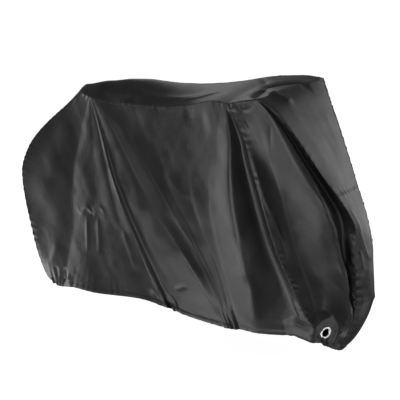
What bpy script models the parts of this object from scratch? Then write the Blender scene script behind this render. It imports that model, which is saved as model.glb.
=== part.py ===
"""Bicycle cover, shaped as it hangs over a parked bicycle. The bicycle itself is left out.

Metres, +Z up. +X runs along the bicycle towards its front wheel and +Y towards its left side.
The tables below give x from the rear axle, z from the ground, and "out", the distance from
the bicycle's middle plane. ORIGIN then moves it all, so that the part's own origin is the
middle of the bottom of its box.
"""
import math
from collections import namedtuple

import bmesh
import bpy
import numpy as np
from mathutils import Vector

ORIGIN = np.array((0.540, 0.0, 0.064))  # in the tables' frame: x from the rear axle, z from the ground
CLOTH = 0.0015          # thickness of the sheet of coated nylon
SEAM_GAP = 0.0003       # least gap between two pieces
DRAWN_IN = 0.6 * SEAM_GAP       # what each of two sewn pieces gives up at its edge

RIGHT = -1              # the bicycle's right side is at -Y
LEFT = 1

# How many cells each panel has along its seams.
ROWS_UPPER = 6          # front seam, end of the handlebar to the upper join
ROWS_FRONT = 7          # front seam, upper join to the lower join
ROWS_TOE = 9            # front seam, lower join to the hem
ROWS = ROWS_UPPER + ROWS_FRONT + ROWS_TOE
CELLS_PER_FOLD = 2      # side panels, from one fold line to the next
ACROSS = 6              # centre strip, seam to seam

# ---- seams: where the pieces meet ----
Seam = namedtuple("Seam", "x out z")

REAR_SEAM = (           # saddle's back edge, down round the rear wheel
    Seam(0.050, 0.050, 0.985),
    Seam(-0.052, 0.045, 0.912),
    Seam(-0.168, 0.045, 0.822),
    Seam(-0.262, 0.045, 0.728),
    Seam(-0.318, 0.045, 0.625),
    Seam(-0.326, 0.045, 0.550),
    Seam(-0.313, 0.045, 0.450),
    Seam(-0.285, 0.045, 0.330),
    Seam(-0.250, 0.045, 0.205),
    Seam(-0.205, 0.042, 0.105),
    Seam(-0.172, 0.040, 0.080),
)
TOP_SEAM = {            # saddle's back edge to the head of the slanting seam
    RIGHT: (
        Seam(0.050, 0.050, 0.985),
        Seam(0.140, 0.080, 0.969),
        Seam(0.270, 0.100, 0.962),
        Seam(0.430, 0.135, 0.974),
        Seam(0.580, 0.170, 0.989),
        Seam(0.700, 0.200, 1.009),
        Seam(0.843, 0.250, 1.046),
        Seam(0.940, 0.280, 1.050),
    ),
    LEFT: (
        Seam(0.050, 0.050, 0.985),
        Seam(0.140, 0.080, 0.975),
        Seam(0.270, 0.110, 0.975),
        Seam(0.430, 0.150, 0.990),
        Seam(0.580, 0.190, 1.012),
        Seam(0.700, 0.230, 1.044),
        Seam(0.820, 0.270, 1.076),
        Seam(0.900, 0.290, 1.084),
    ),
}
GRIP_SEAM = {           # head of the slanting seam to the end of the handlebar
    RIGHT: (Seam(0.940, 0.280, 1.050), Seam(1.010, 0.295, 1.068), Seam(1.080, 0.305, 1.084)),
    LEFT: (Seam(0.900, 0.290, 1.084), Seam(0.960, 0.303, 1.087), Seam(1.025, 0.312, 1.081)),
}
UPPER_SEAM = {          # end of the handlebar to the upper join
    RIGHT: (
        Seam(1.080, 0.305, 1.084),
        Seam(1.134, 0.270, 1.040),
        Seam(1.205, 0.220, 0.926),
        Seam(1.270, 0.178, 0.812),
        Seam(1.324, 0.150, 0.733),
    ),
    LEFT: (
        Seam(1.025, 0.312, 1.081),
        Seam(1.088, 0.270, 0.983),
        Seam(1.132, 0.240, 0.921),
        Seam(1.218, 0.180, 0.790),
        Seam(1.268, 0.150, 0.700),
    ),
}
FRONT_SEAM = {          # upper join to the lower join
    RIGHT: (
        Seam(1.324, 0.150, 0.733),
        Seam(1.365, 0.120, 0.657),
        Seam(1.377, 0.090, 0.590),
        Seam(1.373, 0.080, 0.510),
        Seam(1.372, 0.070, 0.418),
        Seam(1.375, 0.062, 0.310),
    ),
    LEFT: (
        Seam(1.268, 0.150, 0.700),
        Seam(1.306, 0.132, 0.632),
        Seam(1.340, 0.112, 0.561),
        Seam(1.366, 0.092, 0.490),
        Seam(1.378, 0.075, 0.420),
        Seam(1.385, 0.065, 0.310),
    ),
}
TOE_SEAM = {            # lower join, round under the front wheel, to the hem
    RIGHT: (
        Seam(1.375, 0.062, 0.310),
        Seam(1.369, 0.058, 0.260),
        Seam(1.354, 0.053, 0.205),
        Seam(1.332, 0.046, 0.142),
        Seam(1.298, 0.038, 0.086),
    ),
    LEFT: (
        Seam(1.385, 0.065, 0.310),
        Seam(1.376, 0.060, 0.255),
        Seam(1.360, 0.052, 0.200),
        Seam(1.330, 0.045, 0.134),
        Seam(1.292, 0.038, 0.082),
    ),
}
SLANT_SEAM = (          # near the handlebar's end, slanting down to the hem by the eyelet
    Seam(0.940, 0.280, 1.050),
    Seam(1.013, 0.285, 0.928),
    Seam(1.040, 0.285, 0.844),
    Seam(1.070, 0.280, 0.747),
    Seam(1.104, 0.260, 0.615),
    Seam(1.140, 0.225, 0.468),
    Seam(1.180, 0.190, 0.356),
    Seam(1.222, 0.158, 0.242),
    Seam(1.270, 0.128, 0.140),
)
REAR_HEM = {            # rear seam to the slanting seam
    RIGHT: (
        Seam(-0.172, 0.040, 0.080),
        Seam(-0.100, 0.095, 0.078),
        Seam(0.030, 0.130, 0.108),
        Seam(0.194, 0.150, 0.123),
        Seam(0.440, 0.170, 0.161),
        Seam(0.570, 0.170, 0.153),
        Seam(0.656, 0.170, 0.136),
        Seam(0.865, 0.170, 0.134),
        Seam(1.063, 0.160, 0.140),
        Seam(1.200, 0.145, 0.150),
        Seam(1.270, 0.128, 0.140),
    ),
    LEFT: (
        Seam(-0.172, 0.040, 0.080),
        Seam(-0.100, 0.095, 0.078),
        Seam(0.030, 0.130, 0.106),
        Seam(0.194, 0.150, 0.116),
        Seam(0.440, 0.170, 0.134),
        Seam(0.570, 0.170, 0.128),
        Seam(0.656, 0.170, 0.116),
        Seam(0.865, 0.170, 0.094),
        Seam(1.063, 0.160, 0.078),
        Seam(1.200, 0.145, 0.080),
        Seam(1.270, 0.128, 0.090),
    ),
}
FRONT_HEM = {           # midway from the slanting seam to the strip
    RIGHT: Seam(1.291, 0.085, 0.108),
    LEFT: Seam(1.291, 0.085, 0.084),
}

# ---- the centre strip's crown: how far its middle stands out past the line between its seams ----
Crown = namedtuple("Crown", "along rise")
CROWN = (               # "along" counts the seams from the rear hem: 1 saddle, 2 slanting seam,
                        # 3 end of the handlebar, 4 upper join, 5 lower join, 6 front hem
    Crown(0.00, 0.020),
    Crown(0.30, 0.024),
    Crown(0.60, 0.014),
    Crown(0.88, 0.006),
    Crown(1.00, 0.030),
    Crown(1.10, 0.064),
    Crown(1.25, 0.086),
    Crown(1.38, 0.084),
    Crown(1.60, 0.052),
    Crown(1.85, 0.022),
    Crown(2.00, 0.020),
    Crown(3.00, 0.006),
    Crown(3.50, 0.007),
    Crown(4.00, 0.012),
    Crown(4.50, 0.022),
    Crown(5.00, 0.036),
    Crown(6.00, 0.010),
)

# ---- the main folds, which run down each side panel ----
# A line starts at "top", its share of the way along the seam above, and ends at "hem", its share
# of the way along the hem. It stands proud of the straight pull between the two, or sinks where
# that is negative, by its four heights on the way down. "crease" is 1 where the cloth turns
# sharply over it and 0 where it rolls over. It swings forward by "swing" at two places.
Line = namedtuple("Line", "top hem crease high upper lower low swing_upper swing_lower",
                  defaults=(0.0, 0.0))
HEIGHTS_AT = (0.0, 0.14, 0.40, 0.70, 1.0)      # how far down the seam and the four heights are
SWINGS_AT = (0.0, 0.40, 0.70, 1.0)             # how far down the seam, the two swings and the hem are
HEIGHTS = slice(Line._fields.index("high"), Line._fields.index("low") + 1)
SWINGS = slice(Line._fields.index("swing_upper"), None)

REAR_LINES = {
    RIGHT: (
        Line(0.000, 0.000, 0.0, 0.000, 0.000, 0.000, 0.000),
        Line(0.010, 0.050, 0.3, 0.003, 0.009, -0.004, -0.015, 0.000, -0.020),
        Line(0.072, 0.085, 0.9, 0.000, 0.000, -0.016, -0.024, 0.024, 0.050),
        Line(0.082, 0.250, 0.3, 0.005, 0.013, -0.001, -0.007, 0.034, 0.034),
        Line(0.088, 0.445, 0.5, 0.009, 0.028, 0.018, 0.008, 0.014, 0.004),
        Line(0.094, 0.525, 0.8, 0.014, 0.042, 0.032, 0.012, -0.006, -0.010),
        Line(0.100, 0.555, 1.0, 0.008, 0.033, 0.018, -0.009, -0.010, -0.012),
        Line(0.130, 0.722, 0.9, 0.020, 0.060, 0.061, 0.020, 0.054, 0.062),
        Line(0.180, 0.744, 0.1, 0.012, 0.038, 0.033, 0.028, 0.114, 0.098),
        Line(0.350, 0.752, 0.0, 0.007, 0.027, 0.026, 0.024, 0.070, 0.066),
        Line(0.700, 0.760, 0.0, 0.004, 0.016, 0.015, 0.015, -0.040, 0.004),
        Line(0.955, 0.773, 0.5, 0.002, 0.005, 0.004, 0.002, -0.102, -0.050),
        Line(0.985, 0.820, 0.9, 0.012, 0.032, 0.026, 0.008, 0.005, 0.035),
        Line(0.993, 0.955, 0.3, -0.012, -0.034, -0.037, -0.014, -0.028, -0.020),
        Line(1.000, 1.000, 0.9, 0.000, 0.000, 0.000, 0.000),
    ),
    LEFT: (
        Line(0.000, 0.000, 0.0, 0.000, 0.000, 0.000, 0.000),
        Line(0.010, 0.060, 0.3, 0.006, 0.014, 0.010, 0.004),
        Line(0.040, 0.130, 0.8, 0.012, 0.030, 0.024, 0.006, 0.015, 0.010),
        Line(0.055, 0.240, 0.2, -0.004, -0.012, -0.010, 0.000, 0.020, 0.020),
        Line(0.068, 0.350, 0.8, 0.010, 0.028, 0.026, 0.008, -0.010, 0.015),
        Line(0.078, 0.440, 0.3, -0.006, -0.018, -0.016, 0.000, -0.020, 0.010),
        Line(0.090, 0.520, 0.3, -0.002, 0.000, 0.006, 0.004, -0.010, 0.000),
        Line(0.120, 0.610, 0.9, 0.012, 0.034, 0.034, 0.008, 0.010, 0.030),
        Line(0.180, 0.650, 0.3, -0.006, -0.018, -0.014, 0.000, 0.030, 0.015),
        Line(0.400, 0.680, 0.0, 0.004, 0.006, 0.004, 0.002, 0.020, 0.000),
        Line(0.720, 0.715, 0.0, 0.002, 0.004, -0.004, 0.000, -0.030, -0.020),
        Line(0.930, 0.770, 0.5, 0.004, 0.008, 0.008, 0.006, -0.060, -0.030),
        Line(0.980, 0.850, 0.8, 0.016, 0.036, 0.030, 0.008, 0.010, 0.020),
        Line(0.992, 0.930, 0.3, -0.010, -0.030, -0.030, -0.008, -0.015, -0.010),
        Line(1.000, 1.000, 0.8, 0.000, 0.000, 0.000, 0.000),
    ),
}
FRONT_LINES = {
    RIGHT: (
        Line(0.00, 0.00, 0.9, 0.000, 0.000, 0.000, 0.000),
        Line(0.60, 0.22, 0.2, -0.010, -0.032, -0.030, -0.006, -0.015, 0.010),
        Line(0.92, 0.55, 0.8, 0.018, 0.044, 0.014, 0.000, 0.082, 0.150),
        Line(0.96, 0.80, 0.3, -0.008, -0.018, -0.006, 0.000, 0.036, 0.050),
        Line(1.00, 1.00, 0.8, 0.000, 0.000, 0.000, 0.000),
    ),
    LEFT: (
        Line(0.00, 0.00, 0.9, 0.000, 0.000, 0.000, 0.000),
        Line(0.50, 0.24, 0.2, -0.006, -0.020, -0.020, -0.006, 0.000, 0.010),
        Line(0.88, 0.52, 0.7, 0.010, 0.028, 0.012, 0.002, 0.045, 0.080),
        Line(0.94, 0.76, 0.3, -0.006, -0.016, -0.008, 0.000, 0.025, 0.040),
        Line(1.00, 1.00, 0.8, 0.000, 0.000, 0.000, 0.000),
    ),
}

# How soon the cloth leaves the shape of the seams at its two ends: the higher, the sooner.
REAR_PULL = (12.0, 3.0)
FRONT_PULL = (1.5, 1.3)

# ---- the eyelet near the front hem, on the right side ----
EYELET_AT = np.array((1.280, -0.112, 0.180))
EYELET_FACES = np.array((0.89, -0.43, -0.12))
EYELET_HOLE = 0.0165    # radius of the opening
EYELET_NECK = 0.0190    # radius of the tube that goes through the cloth
EYELET_RIM = 0.0255     # radius of the front flange
EYELET_WASHER = 0.0250  # radius of the back flange
EYELET_SHEET = 0.0010   # thickness of its metal
EYELET_CROWN = 0.0018   # how far the front flange stands off the cloth
EYELET_CURVE = 6        # steps over the front flange, from edge to edge
CLOTH_HOLE = 0.0195     # radius of the hole cut in the cloth
RING_STEPS = 24         # sides of the ring and of the hole in the cloth
CUTTER_LENGTH = 0.030   # of the round cutter for that hole
FLAT_WITHIN = 0.068     # the cloth is flat this far from the eyelet's middle
FLAT_BEYOND = 0.086     # and back on its own shape this far from it

SLANT_SHIFT = 0.030     # the left side's slanting seam is this far back
FINE = 24               # steps on a smooth curve between two rows of a table
EDGES = {               # each edge of a sheet, and the line of points next to it
    "top": (np.s_[0], np.s_[1]),
    "bottom": (np.s_[-1], np.s_[-2]),
    "left": (np.s_[:, 0], np.s_[:, 1]),
    "right": (np.s_[:, -1], np.s_[:, -2]),
}
COLUMNS_REAR = CELLS_PER_FOLD * (len(REAR_LINES[RIGHT]) - 1)
COLUMNS_FRONT = CELLS_PER_FOLD * (len(FRONT_LINES[RIGHT]) - 1)


# ---- lines ----
def smooth_line(rows, shares):
    """Points on a smooth curve through the rows, at these shares of its length."""
    knots = np.array(rows, float)
    before = 2 * knots[0] - knots[1]
    after = 2 * knots[-1] - knots[-2]
    padded = np.vstack((before, knots, after))
    t = np.linspace(0, 1, FINE, endpoint=False)[:, None]
    pieces = []
    for a, b, c, d in zip(padded, padded[1:], padded[2:], padded[3:]):
        straight = 2 * b + (c - a) * t
        bend = (2 * a - 5 * b + 4 * c - d) * t ** 2 + (3 * b - a - 3 * c + d) * t ** 3
        pieces.append((straight + bend) / 2)
    fine = np.vstack(pieces + [knots[-1:]])
    steps = np.linalg.norm(np.diff(fine, axis=0), axis=1)
    length = np.concatenate(([0.0], np.cumsum(steps)))
    where = np.clip(shares, 0, 1) * length[-1]
    return np.stack([np.interp(where, length, fine[:, k]) for k in range(fine.shape[1])], axis=-1)


def evenly(cells):
    """Shares of a line's length, evenly spaced, one more than there are cells."""
    return np.linspace(0, 1, cells + 1)


def seam_line(rows, shares, side):
    """The seam's points, as x, y, z on one side of the bicycle."""
    line = smooth_line(rows, shares)
    line[..., 1] *= side
    return line


def join(*lines):
    """Lines that follow each other, with each shared point kept once."""
    return np.vstack([lines[0]] + [line[1:] for line in lines[1:]])


def between_lines(lines):
    """One row for each column of the cloth, as in a Line, and its share of all the folds."""
    columns = []
    folds = len(lines) - 1
    for k, (first, second) in enumerate(zip(lines, lines[1:])):
        a, b = np.array(first), np.array(second)
        for cell in range(CELLS_PER_FOLD):
            s = cell / CELLS_PER_FOLD
            turn = s * s * (3 - 2 * s)
            turn += first.crease * s * (1 - s) ** 2 - second.crease * s * s * (1 - s)
            column = a + (b - a) * s
            column[HEIGHTS] = (a + (b - a) * turn)[HEIGHTS]
            columns.append(np.append(column, (k + s) / folds))
    columns.append(np.append(np.array(lines[-1]), 1.0))
    return np.array(columns)


def flow(values, places):
    """Values for each row and column, smooth on the way down through each column's own values."""
    v = evenly(ROWS)
    slopes = np.gradient(values, places, axis=1)
    result = np.zeros((len(v), len(values)))
    for k in range(len(places) - 1):
        span = places[k + 1] - places[k]
        inside = (v >= places[k]) & (v <= places[k + 1])
        s = ((v[inside] - places[k]) / span)[:, None]
        start, end = values[:, k], values[:, k + 1]
        leave, arrive = slopes[:, k] * span, slopes[:, k + 1] * span
        blend = (1 + 2 * s) * (1 - s) ** 2 * start + s * s * (3 - 2 * s) * end
        result[inside] = blend + s * (1 - s) ** 2 * leave - s * s * (1 - s) * arrive
    return result


def fold_heights(columns):
    """How far the folds lift the cloth, for each row and column."""
    seam = np.zeros((len(columns), 1))
    return flow(np.hstack((seam, columns[:, HEIGHTS])), HEIGHTS_AT)


def stretched(top, hem, first, last, columns, side, pull):
    """A sheet pulled straight from its seam to its hem, which keeps the shape of its two ends."""
    v = evenly(ROWS)[:, None, None]
    ends = np.zeros((len(columns), 1))
    swing = flow(np.hstack((ends, columns[:, SWINGS][:, :2], ends)), SWINGS_AT)
    shift = swing / np.linalg.norm(last - first, axis=1)[:, None]
    straight = (1 - v) * seam_line(top, columns[:, 0] + shift, side)
    straight += v * seam_line(hem, columns[:, 1] + shift, side)
    u = np.clip(columns[:, -1] + shift, 0, 1)[..., None]
    from_first = (first - straight[:, 0])[:, None] * (1 - u) ** pull[0]
    from_last = (last - straight[:, -1])[:, None] * u ** pull[1]
    return straight + from_first + from_last


def normals(sheet, outward):
    """Unit normals of a sheet of points, on the side of it that outward is on."""
    down, across = np.gradient(sheet, axis=(0, 1))
    normal = np.cross(across, down)
    normal /= np.linalg.norm(normal, axis=2, keepdims=True)
    return normal * np.sign(np.sum(normal @ np.array(outward, float)))


def smooth_step(value):
    """0 up to 0, 1 from 1 on, with an even slope at both ends."""
    value = np.clip(value, 0, 1)
    return value * value * (3 - 2 * value)


def flattened(sheet):
    """The sheet with a flat place for the eyelet."""
    facing = EYELET_FACES / np.linalg.norm(EYELET_FACES)
    offset = sheet - EYELET_AT
    off_plane = offset @ facing
    distance = np.linalg.norm(offset - off_plane[..., None] * facing, axis=-1)
    share = 1 - smooth_step((distance - FLAT_WITHIN) / (FLAT_BEYOND - FLAT_WITHIN))
    return sheet - (off_plane * share)[..., None] * facing


# ---- panels ----
def side_sheet(side):
    """Both side panels of one side as one sheet: rows run down, columns run to the front."""
    rear = between_lines(REAR_LINES[side])
    front = between_lines(FRONT_LINES[side])
    rear_line = seam_line(REAR_SEAM, evenly(ROWS), side)
    slant_line = seam_line(slant_seam(side), evenly(ROWS), side)
    rear_sheet = stretched(TOP_SEAM[side], REAR_HEM[side], rear_line, slant_line, rear, side, REAR_PULL)
    front_sheet = stretched(GRIP_SEAM[side], front_hem(side), slant_line, front_line(side), front,
                            side, FRONT_PULL)
    sheet = np.concatenate((rear_sheet, front_sheet[:, 1:]), axis=1)
    lift = np.concatenate((fold_heights(rear), fold_heights(front)[:, 1:]), axis=1)
    sheet = sheet + normals(sheet, (0, side, 0)) * lift[..., None]
    return flattened(sheet) if side == RIGHT else sheet


def slant_seam(side):
    """The slanting seam's rows. On the left it starts at that side's own place."""
    if side == RIGHT:
        return SLANT_SEAM
    middle = tuple(Seam(row.x - SLANT_SHIFT, row.out, row.z) for row in SLANT_SEAM[1:-1])
    return GRIP_SEAM[LEFT][:1] + middle + REAR_HEM[LEFT][-1:]


def front_hem(side):
    """The hem below a front side panel, from the slanting seam to the strip."""
    return REAR_HEM[side][-1], FRONT_HEM[side], TOE_SEAM[side][-1]


def front_line(side):
    """The front seam of one side, from the end of the handlebar down to the hem."""
    return join(
        seam_line(UPPER_SEAM[side], evenly(ROWS_UPPER), side),
        seam_line(FRONT_SEAM[side], evenly(ROWS_FRONT), side),
        seam_line(TOE_SEAM[side], evenly(ROWS_TOE), side),
    )


def strip_edge(side):
    """The whole edge of the centre strip on one side, from the rear hem to the front hem."""
    return join(
        seam_line(REAR_SEAM, evenly(ROWS), side)[::-1],
        seam_line(TOP_SEAM[side], between_lines(REAR_LINES[side])[:, 0], side),
        seam_line(GRIP_SEAM[side], between_lines(FRONT_LINES[side])[:, 0], side),
        front_line(side),
    )


def strip_sheet():
    """The centre strip as one sheet: rows run from the rear hem to the front hem."""
    right = strip_edge(RIGHT)
    left = strip_edge(LEFT)
    run = np.gradient((right + left) / 2, axis=0)
    out = np.cross(run, left - right)
    out[:, 1] = 0
    out /= np.linalg.norm(out, axis=1, keepdims=True)
    shares = (
        evenly(ROWS),
        between_lines(REAR_LINES[RIGHT])[:, 0],
        between_lines(FRONT_LINES[RIGHT])[:, 0],
        evenly(ROWS_UPPER),
        evenly(ROWS_FRONT),
        evenly(ROWS_TOE),
    )
    along = np.concatenate([[0.0]] + [k + share[1:] for k, share in enumerate(shares)])
    rise = np.interp(along, [row.along for row in CROWN], [row.rise for row in CROWN])
    w = np.linspace(-1, 1, ACROSS + 1)[None, :, None]
    flat = right[:, None] * (1 - w) / 2 + left[:, None] * (1 + w) / 2
    return flat + out[:, None] * rise[:, None, None] * (1 - w ** 2)


def side_edge(grid):
    """The values of a side's grid along its seam with the strip, from the rear hem to the front."""
    return join(grid[::-1, :1], grid[0][:, None], grid[:, -1:])[:, 0]


def shared_directions(sides, strip):
    """The way out of each sheet, the same for both pieces wherever they meet at a seam."""
    side_out = {side: normals(sheet, (0, side, 0)) for side, sheet in sides.items()}
    strip_out = normals(strip, (0, 0, 1))
    for side, column in ((RIGHT, 0), (LEFT, -1)):
        both = side_edge(side_out[side]) + strip_out[:, column]
        both /= np.linalg.norm(both, axis=1, keepdims=True)
        strip_out[:, column] = both
        side_out[side][:, 0] = both[ROWS::-1]
        side_out[side][0] = both[ROWS:-ROWS]
        side_out[side][:, -1] = both[-ROWS - 1:]
    return side_out, strip_out


def drawn_in(sheet, edges):
    """The sheet with the named edges drawn back from their seams, square to them."""
    sheet = sheet.copy()
    for edge in edges:
        line, inner = EDGES[edge]
        seam = np.gradient(sheet[line], axis=0)
        seam /= np.linalg.norm(seam, axis=1, keepdims=True)
        step = sheet[inner] - sheet[line]
        step -= seam * np.sum(step * seam, axis=1, keepdims=True)
        step /= np.linalg.norm(step, axis=1, keepdims=True)
        sheet[line] += step * DRAWN_IN
    return sheet


# ---- objects ----
def cloth_material(name, grey):
    """Dark coated nylon with a low sheen."""
    material = bpy.data.materials.new(name)
    material.use_nodes = True
    shader = material.node_tree.nodes["Principled BSDF"]
    shader.inputs["Base Color"].default_value = (grey, grey, grey * 1.03, 1)
    shader.inputs["Roughness"].default_value = 0.42
    shader.inputs["Metallic"].default_value = 0.0
    return material


def metal_material():
    """Bright plated steel."""
    material = bpy.data.materials.new("plated_steel")
    material.use_nodes = True
    shader = material.node_tree.nodes["Principled BSDF"]
    shader.inputs["Base Color"].default_value = (0.86, 0.86, 0.85, 1)
    shader.inputs["Roughness"].default_value = 0.22
    shader.inputs["Metallic"].default_value = 1.0
    return material


def split_cell(points, cell):
    """A cell's two triangles, split along its shorter diagonal."""
    a, b, c, d = cell
    if np.linalg.norm(points[a] - points[c]) <= np.linalg.norm(points[b] - points[d]):
        return (a, b, c), (a, c, d)
    return (a, b, d), (b, c, d)


def panel(name, sheet, outward, material, collection):
    """A panel of cloth: its sheet of points, a second one a cloth's thickness out, and a rim.

    The way out is given for each point, because pieces that meet at a seam share it. So the
    gap between them stays the same through the cloth, however sharply they meet. The rim is
    split from its low and rear inner corners, which is the same on both sides of a seam. Both
    faces of the cloth are split alike, so that they don't pass through each other where it twists.
    """
    rows, columns = sheet.shape[:2]
    inner = (sheet - ORIGIN).reshape(-1, 3)
    outer = inner + outward.reshape(-1, 3) * CLOTH
    count = len(inner)
    faces = []
    for i in range(rows - 1):
        for j in range(columns - 1):
            k = i * columns + j
            for half in split_cell(inner, (k, k + 1, k + columns + 1, k + columns)):
                faces.append(half)
                faces.append(tuple(count + corner for corner in reversed(half)))
    across = list(range(columns))
    down = [i * columns for i in range(rows)]
    rim = across + [k + columns - 1 for k in down[1:]]
    rim += [count - columns + j for j in reversed(across[:-1])] + down[-2:0:-1]
    for a, b in zip(rim, rim[1:] + rim[:1]):
        low, high = sorted((a, b), key=lambda k: inner[k][0] + inner[k][2])
        faces.append((low, high, count + high))
        faces.append((low, count + high, count + low))
    mesh = bpy.data.meshes.new(name)
    mesh.from_pydata([tuple(p) for p in np.vstack((inner, outer))], [], faces)
    mesh.materials.append(material)
    shape = bmesh.new()
    shape.from_mesh(mesh)
    bmesh.ops.recalc_face_normals(shape, faces=shape.faces)
    shape.to_mesh(mesh)
    shape.free()
    mesh.shade_smooth()
    mesh.set_sharp_from_angle(angle=math.radians(60))
    piece = bpy.data.objects.new(name, mesh)
    collection.objects.link(piece)
    return piece


def turned(profile, name, material, collection):
    """A ring turned from a closed profile of (radius, height), on the eyelet's axis."""
    mesh = bpy.data.meshes.new(name)
    points = [(radius, 0.0, height) for radius, height in profile]
    edges = [(k, (k + 1) % len(points)) for k in range(len(points))]
    mesh.from_pydata(points, edges, [])
    mesh.materials.append(material)
    ring = bpy.data.objects.new(name, mesh)
    collection.objects.link(ring)
    screw = ring.modifiers.new("Turn", "SCREW")
    screw.axis = "Z"
    screw.steps = RING_STEPS
    screw.render_steps = RING_STEPS
    screw.use_merge_vertices = True
    screw.merge_threshold = 0.00005
    screw.use_normal_calculate = True
    screw.use_normal_flip = True
    return ring


def eyelet_turn():
    """The rotation that lays the ring's axis along the way that the eyelet faces."""
    return Vector(EYELET_FACES).to_track_quat("Z", "Y")


def make_eyelet(collection):
    """The eyelet: two flanges and the tube that joins them through the cloth."""
    front = CLOTH + SEAM_GAP
    back = -SEAM_GAP
    middle = (EYELET_RIM + EYELET_HOLE) / 2
    reach = (EYELET_RIM - EYELET_HOLE) / 2
    profile = [
        (EYELET_HOLE, back - EYELET_SHEET),
        (EYELET_WASHER, back - EYELET_SHEET),
        (EYELET_WASHER, back),
        (EYELET_NECK, back),
        (EYELET_NECK, front),
    ]
    for step in range(EYELET_CURVE + 1):
        turn = math.pi * step / EYELET_CURVE
        profile.append((middle + reach * math.cos(turn), front + EYELET_CROWN * math.sin(turn)))
    ring = turned(profile, "eyelet", metal_material(), collection)
    ring.location = tuple(EYELET_AT - ORIGIN)
    ring.rotation_mode = "QUATERNION"
    ring.rotation_quaternion = eyelet_turn()
    return ring


def cut_eyelet_hole(piece, cutters):
    """The round hole that the eyelet's tube goes through."""
    mesh = bpy.data.meshes.new("eyelet_hole")
    shape = bmesh.new()
    bmesh.ops.create_cone(shape, cap_ends=True, segments=RING_STEPS, radius1=CLOTH_HOLE,
                          radius2=CLOTH_HOLE, depth=CUTTER_LENGTH)
    shape.to_mesh(mesh)
    shape.free()
    cutter = bpy.data.objects.new("eyelet_hole", mesh)
    cutter.location = tuple(EYELET_AT - ORIGIN)
    cutter.rotation_mode = "QUATERNION"
    cutter.rotation_quaternion = eyelet_turn()
    cutter.hide_render = True
    cutter.display_type = "WIRE"
    cutters.objects.link(cutter)
    cut = piece.modifiers.new("Eyelet hole", "BOOLEAN")
    cut.operation = "DIFFERENCE"
    cut.solver = "EXACT"
    cut.object = cutter


def make_sides(sheets, outward, collection, cutters):
    """Four side panels: two on each side, split at the slanting seam."""
    cloth = cloth_material("side_cloth", 0.030)
    sewn = ("top", "left", "right")
    for side, word in ((RIGHT, "right"), (LEFT, "left")):
        rear = np.s_[:, :COLUMNS_REAR + 1]
        front = np.s_[:, COLUMNS_REAR:]
        sheet, out = sheets[side], outward[side]
        panel("side_rear_" + word, drawn_in(sheet[rear], sewn), out[rear], cloth, collection)
        holder = panel("side_front_" + word, drawn_in(sheet[front], sewn), out[front], cloth, collection)
        if side == RIGHT:
            cut_eyelet_hole(holder, cutters)


def make_strip(sheet, outward, collection):
    """The centre strip in its three lengths."""
    cloth = cloth_material("strip_cloth", 0.034)
    upper = ROWS + COLUMNS_REAR + COLUMNS_FRONT + ROWS_UPPER
    lower = upper + ROWS_FRONT
    lengths = (
        ("strip_crown", np.s_[:upper + 1], ("left", "right", "bottom")),
        ("strip_front", np.s_[upper:lower + 1], ("left", "right", "top", "bottom")),
        ("strip_toe", np.s_[lower:], ("left", "right", "top")),
    )
    for name, rows, sewn in lengths:
        panel(name, drawn_in(sheet[rows], sewn), outward[rows], cloth, collection)


def main():
    """Clear the scene and build the cover."""
    for old in list(bpy.data.objects):
        bpy.data.objects.remove(old, do_unlink=True)
    parts = bpy.data.collections.new("bicycle_cover")
    cutters = bpy.data.collections.new("cutters")
    bpy.context.scene.collection.children.link(parts)
    bpy.context.scene.collection.children.link(cutters)
    sides = {side: side_sheet(side) for side in (RIGHT, LEFT)}
    strip = strip_sheet()
    side_out, strip_out = shared_directions(sides, strip)
    make_sides(sides, side_out, parts, cutters)
    make_strip(strip, strip_out, parts)
    make_eyelet(parts)


main()
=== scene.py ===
"""Looks of a bicycle cover of thin coated nylon, shaped as it hangs over a parked bicycle.

The file is laid out as an add-on and run as a script. Property groups hold the sizes and colours,
each operator makes one group of pieces, and a panel in the 3D view's sidebar lists them.

Metres, +Z up. +X runs along the bicycle towards its front wheel and +Y towards its left side.
The tables of seams and folds give x from the rear axle and z from the ground, as in the part's
own source, and ORIGIN moves them into the frame. "out" is the distance from the middle plane.
"""
import math
from collections import namedtuple
from functools import lru_cache

import bmesh
import bpy
import numpy as np
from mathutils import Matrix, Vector


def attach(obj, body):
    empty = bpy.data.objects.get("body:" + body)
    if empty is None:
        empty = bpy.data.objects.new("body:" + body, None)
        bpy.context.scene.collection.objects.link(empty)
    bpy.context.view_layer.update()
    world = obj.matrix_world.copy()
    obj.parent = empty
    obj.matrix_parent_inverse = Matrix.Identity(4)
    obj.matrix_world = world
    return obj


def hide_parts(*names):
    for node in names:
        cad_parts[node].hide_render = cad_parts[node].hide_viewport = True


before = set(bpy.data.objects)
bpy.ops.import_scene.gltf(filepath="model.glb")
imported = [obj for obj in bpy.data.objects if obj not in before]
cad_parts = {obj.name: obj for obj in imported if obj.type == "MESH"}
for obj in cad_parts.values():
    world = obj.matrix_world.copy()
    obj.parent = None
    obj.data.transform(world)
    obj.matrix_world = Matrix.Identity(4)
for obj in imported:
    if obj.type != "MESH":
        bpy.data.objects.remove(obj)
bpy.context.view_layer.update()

bl_info = {
    "name": "Bicycle cover",
    "version": (1, 0, 0),
    "blender": (4, 5, 0),
    "location": "3D View > Sidebar > Cover",
    "description": "Makes a bicycle cover with its folds, seams, stitches, eyelet and studio",
    "category": "Object",
}

ORIGIN = np.array((0.540, 0.0, 0.064))  # in the tables' frame: x from the rear axle, z from the ground

RIGHT = -1              # the bicycle's right side is at -Y
LEFT = 1
SIDES = {RIGHT: "right", LEFT: "left"}

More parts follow.
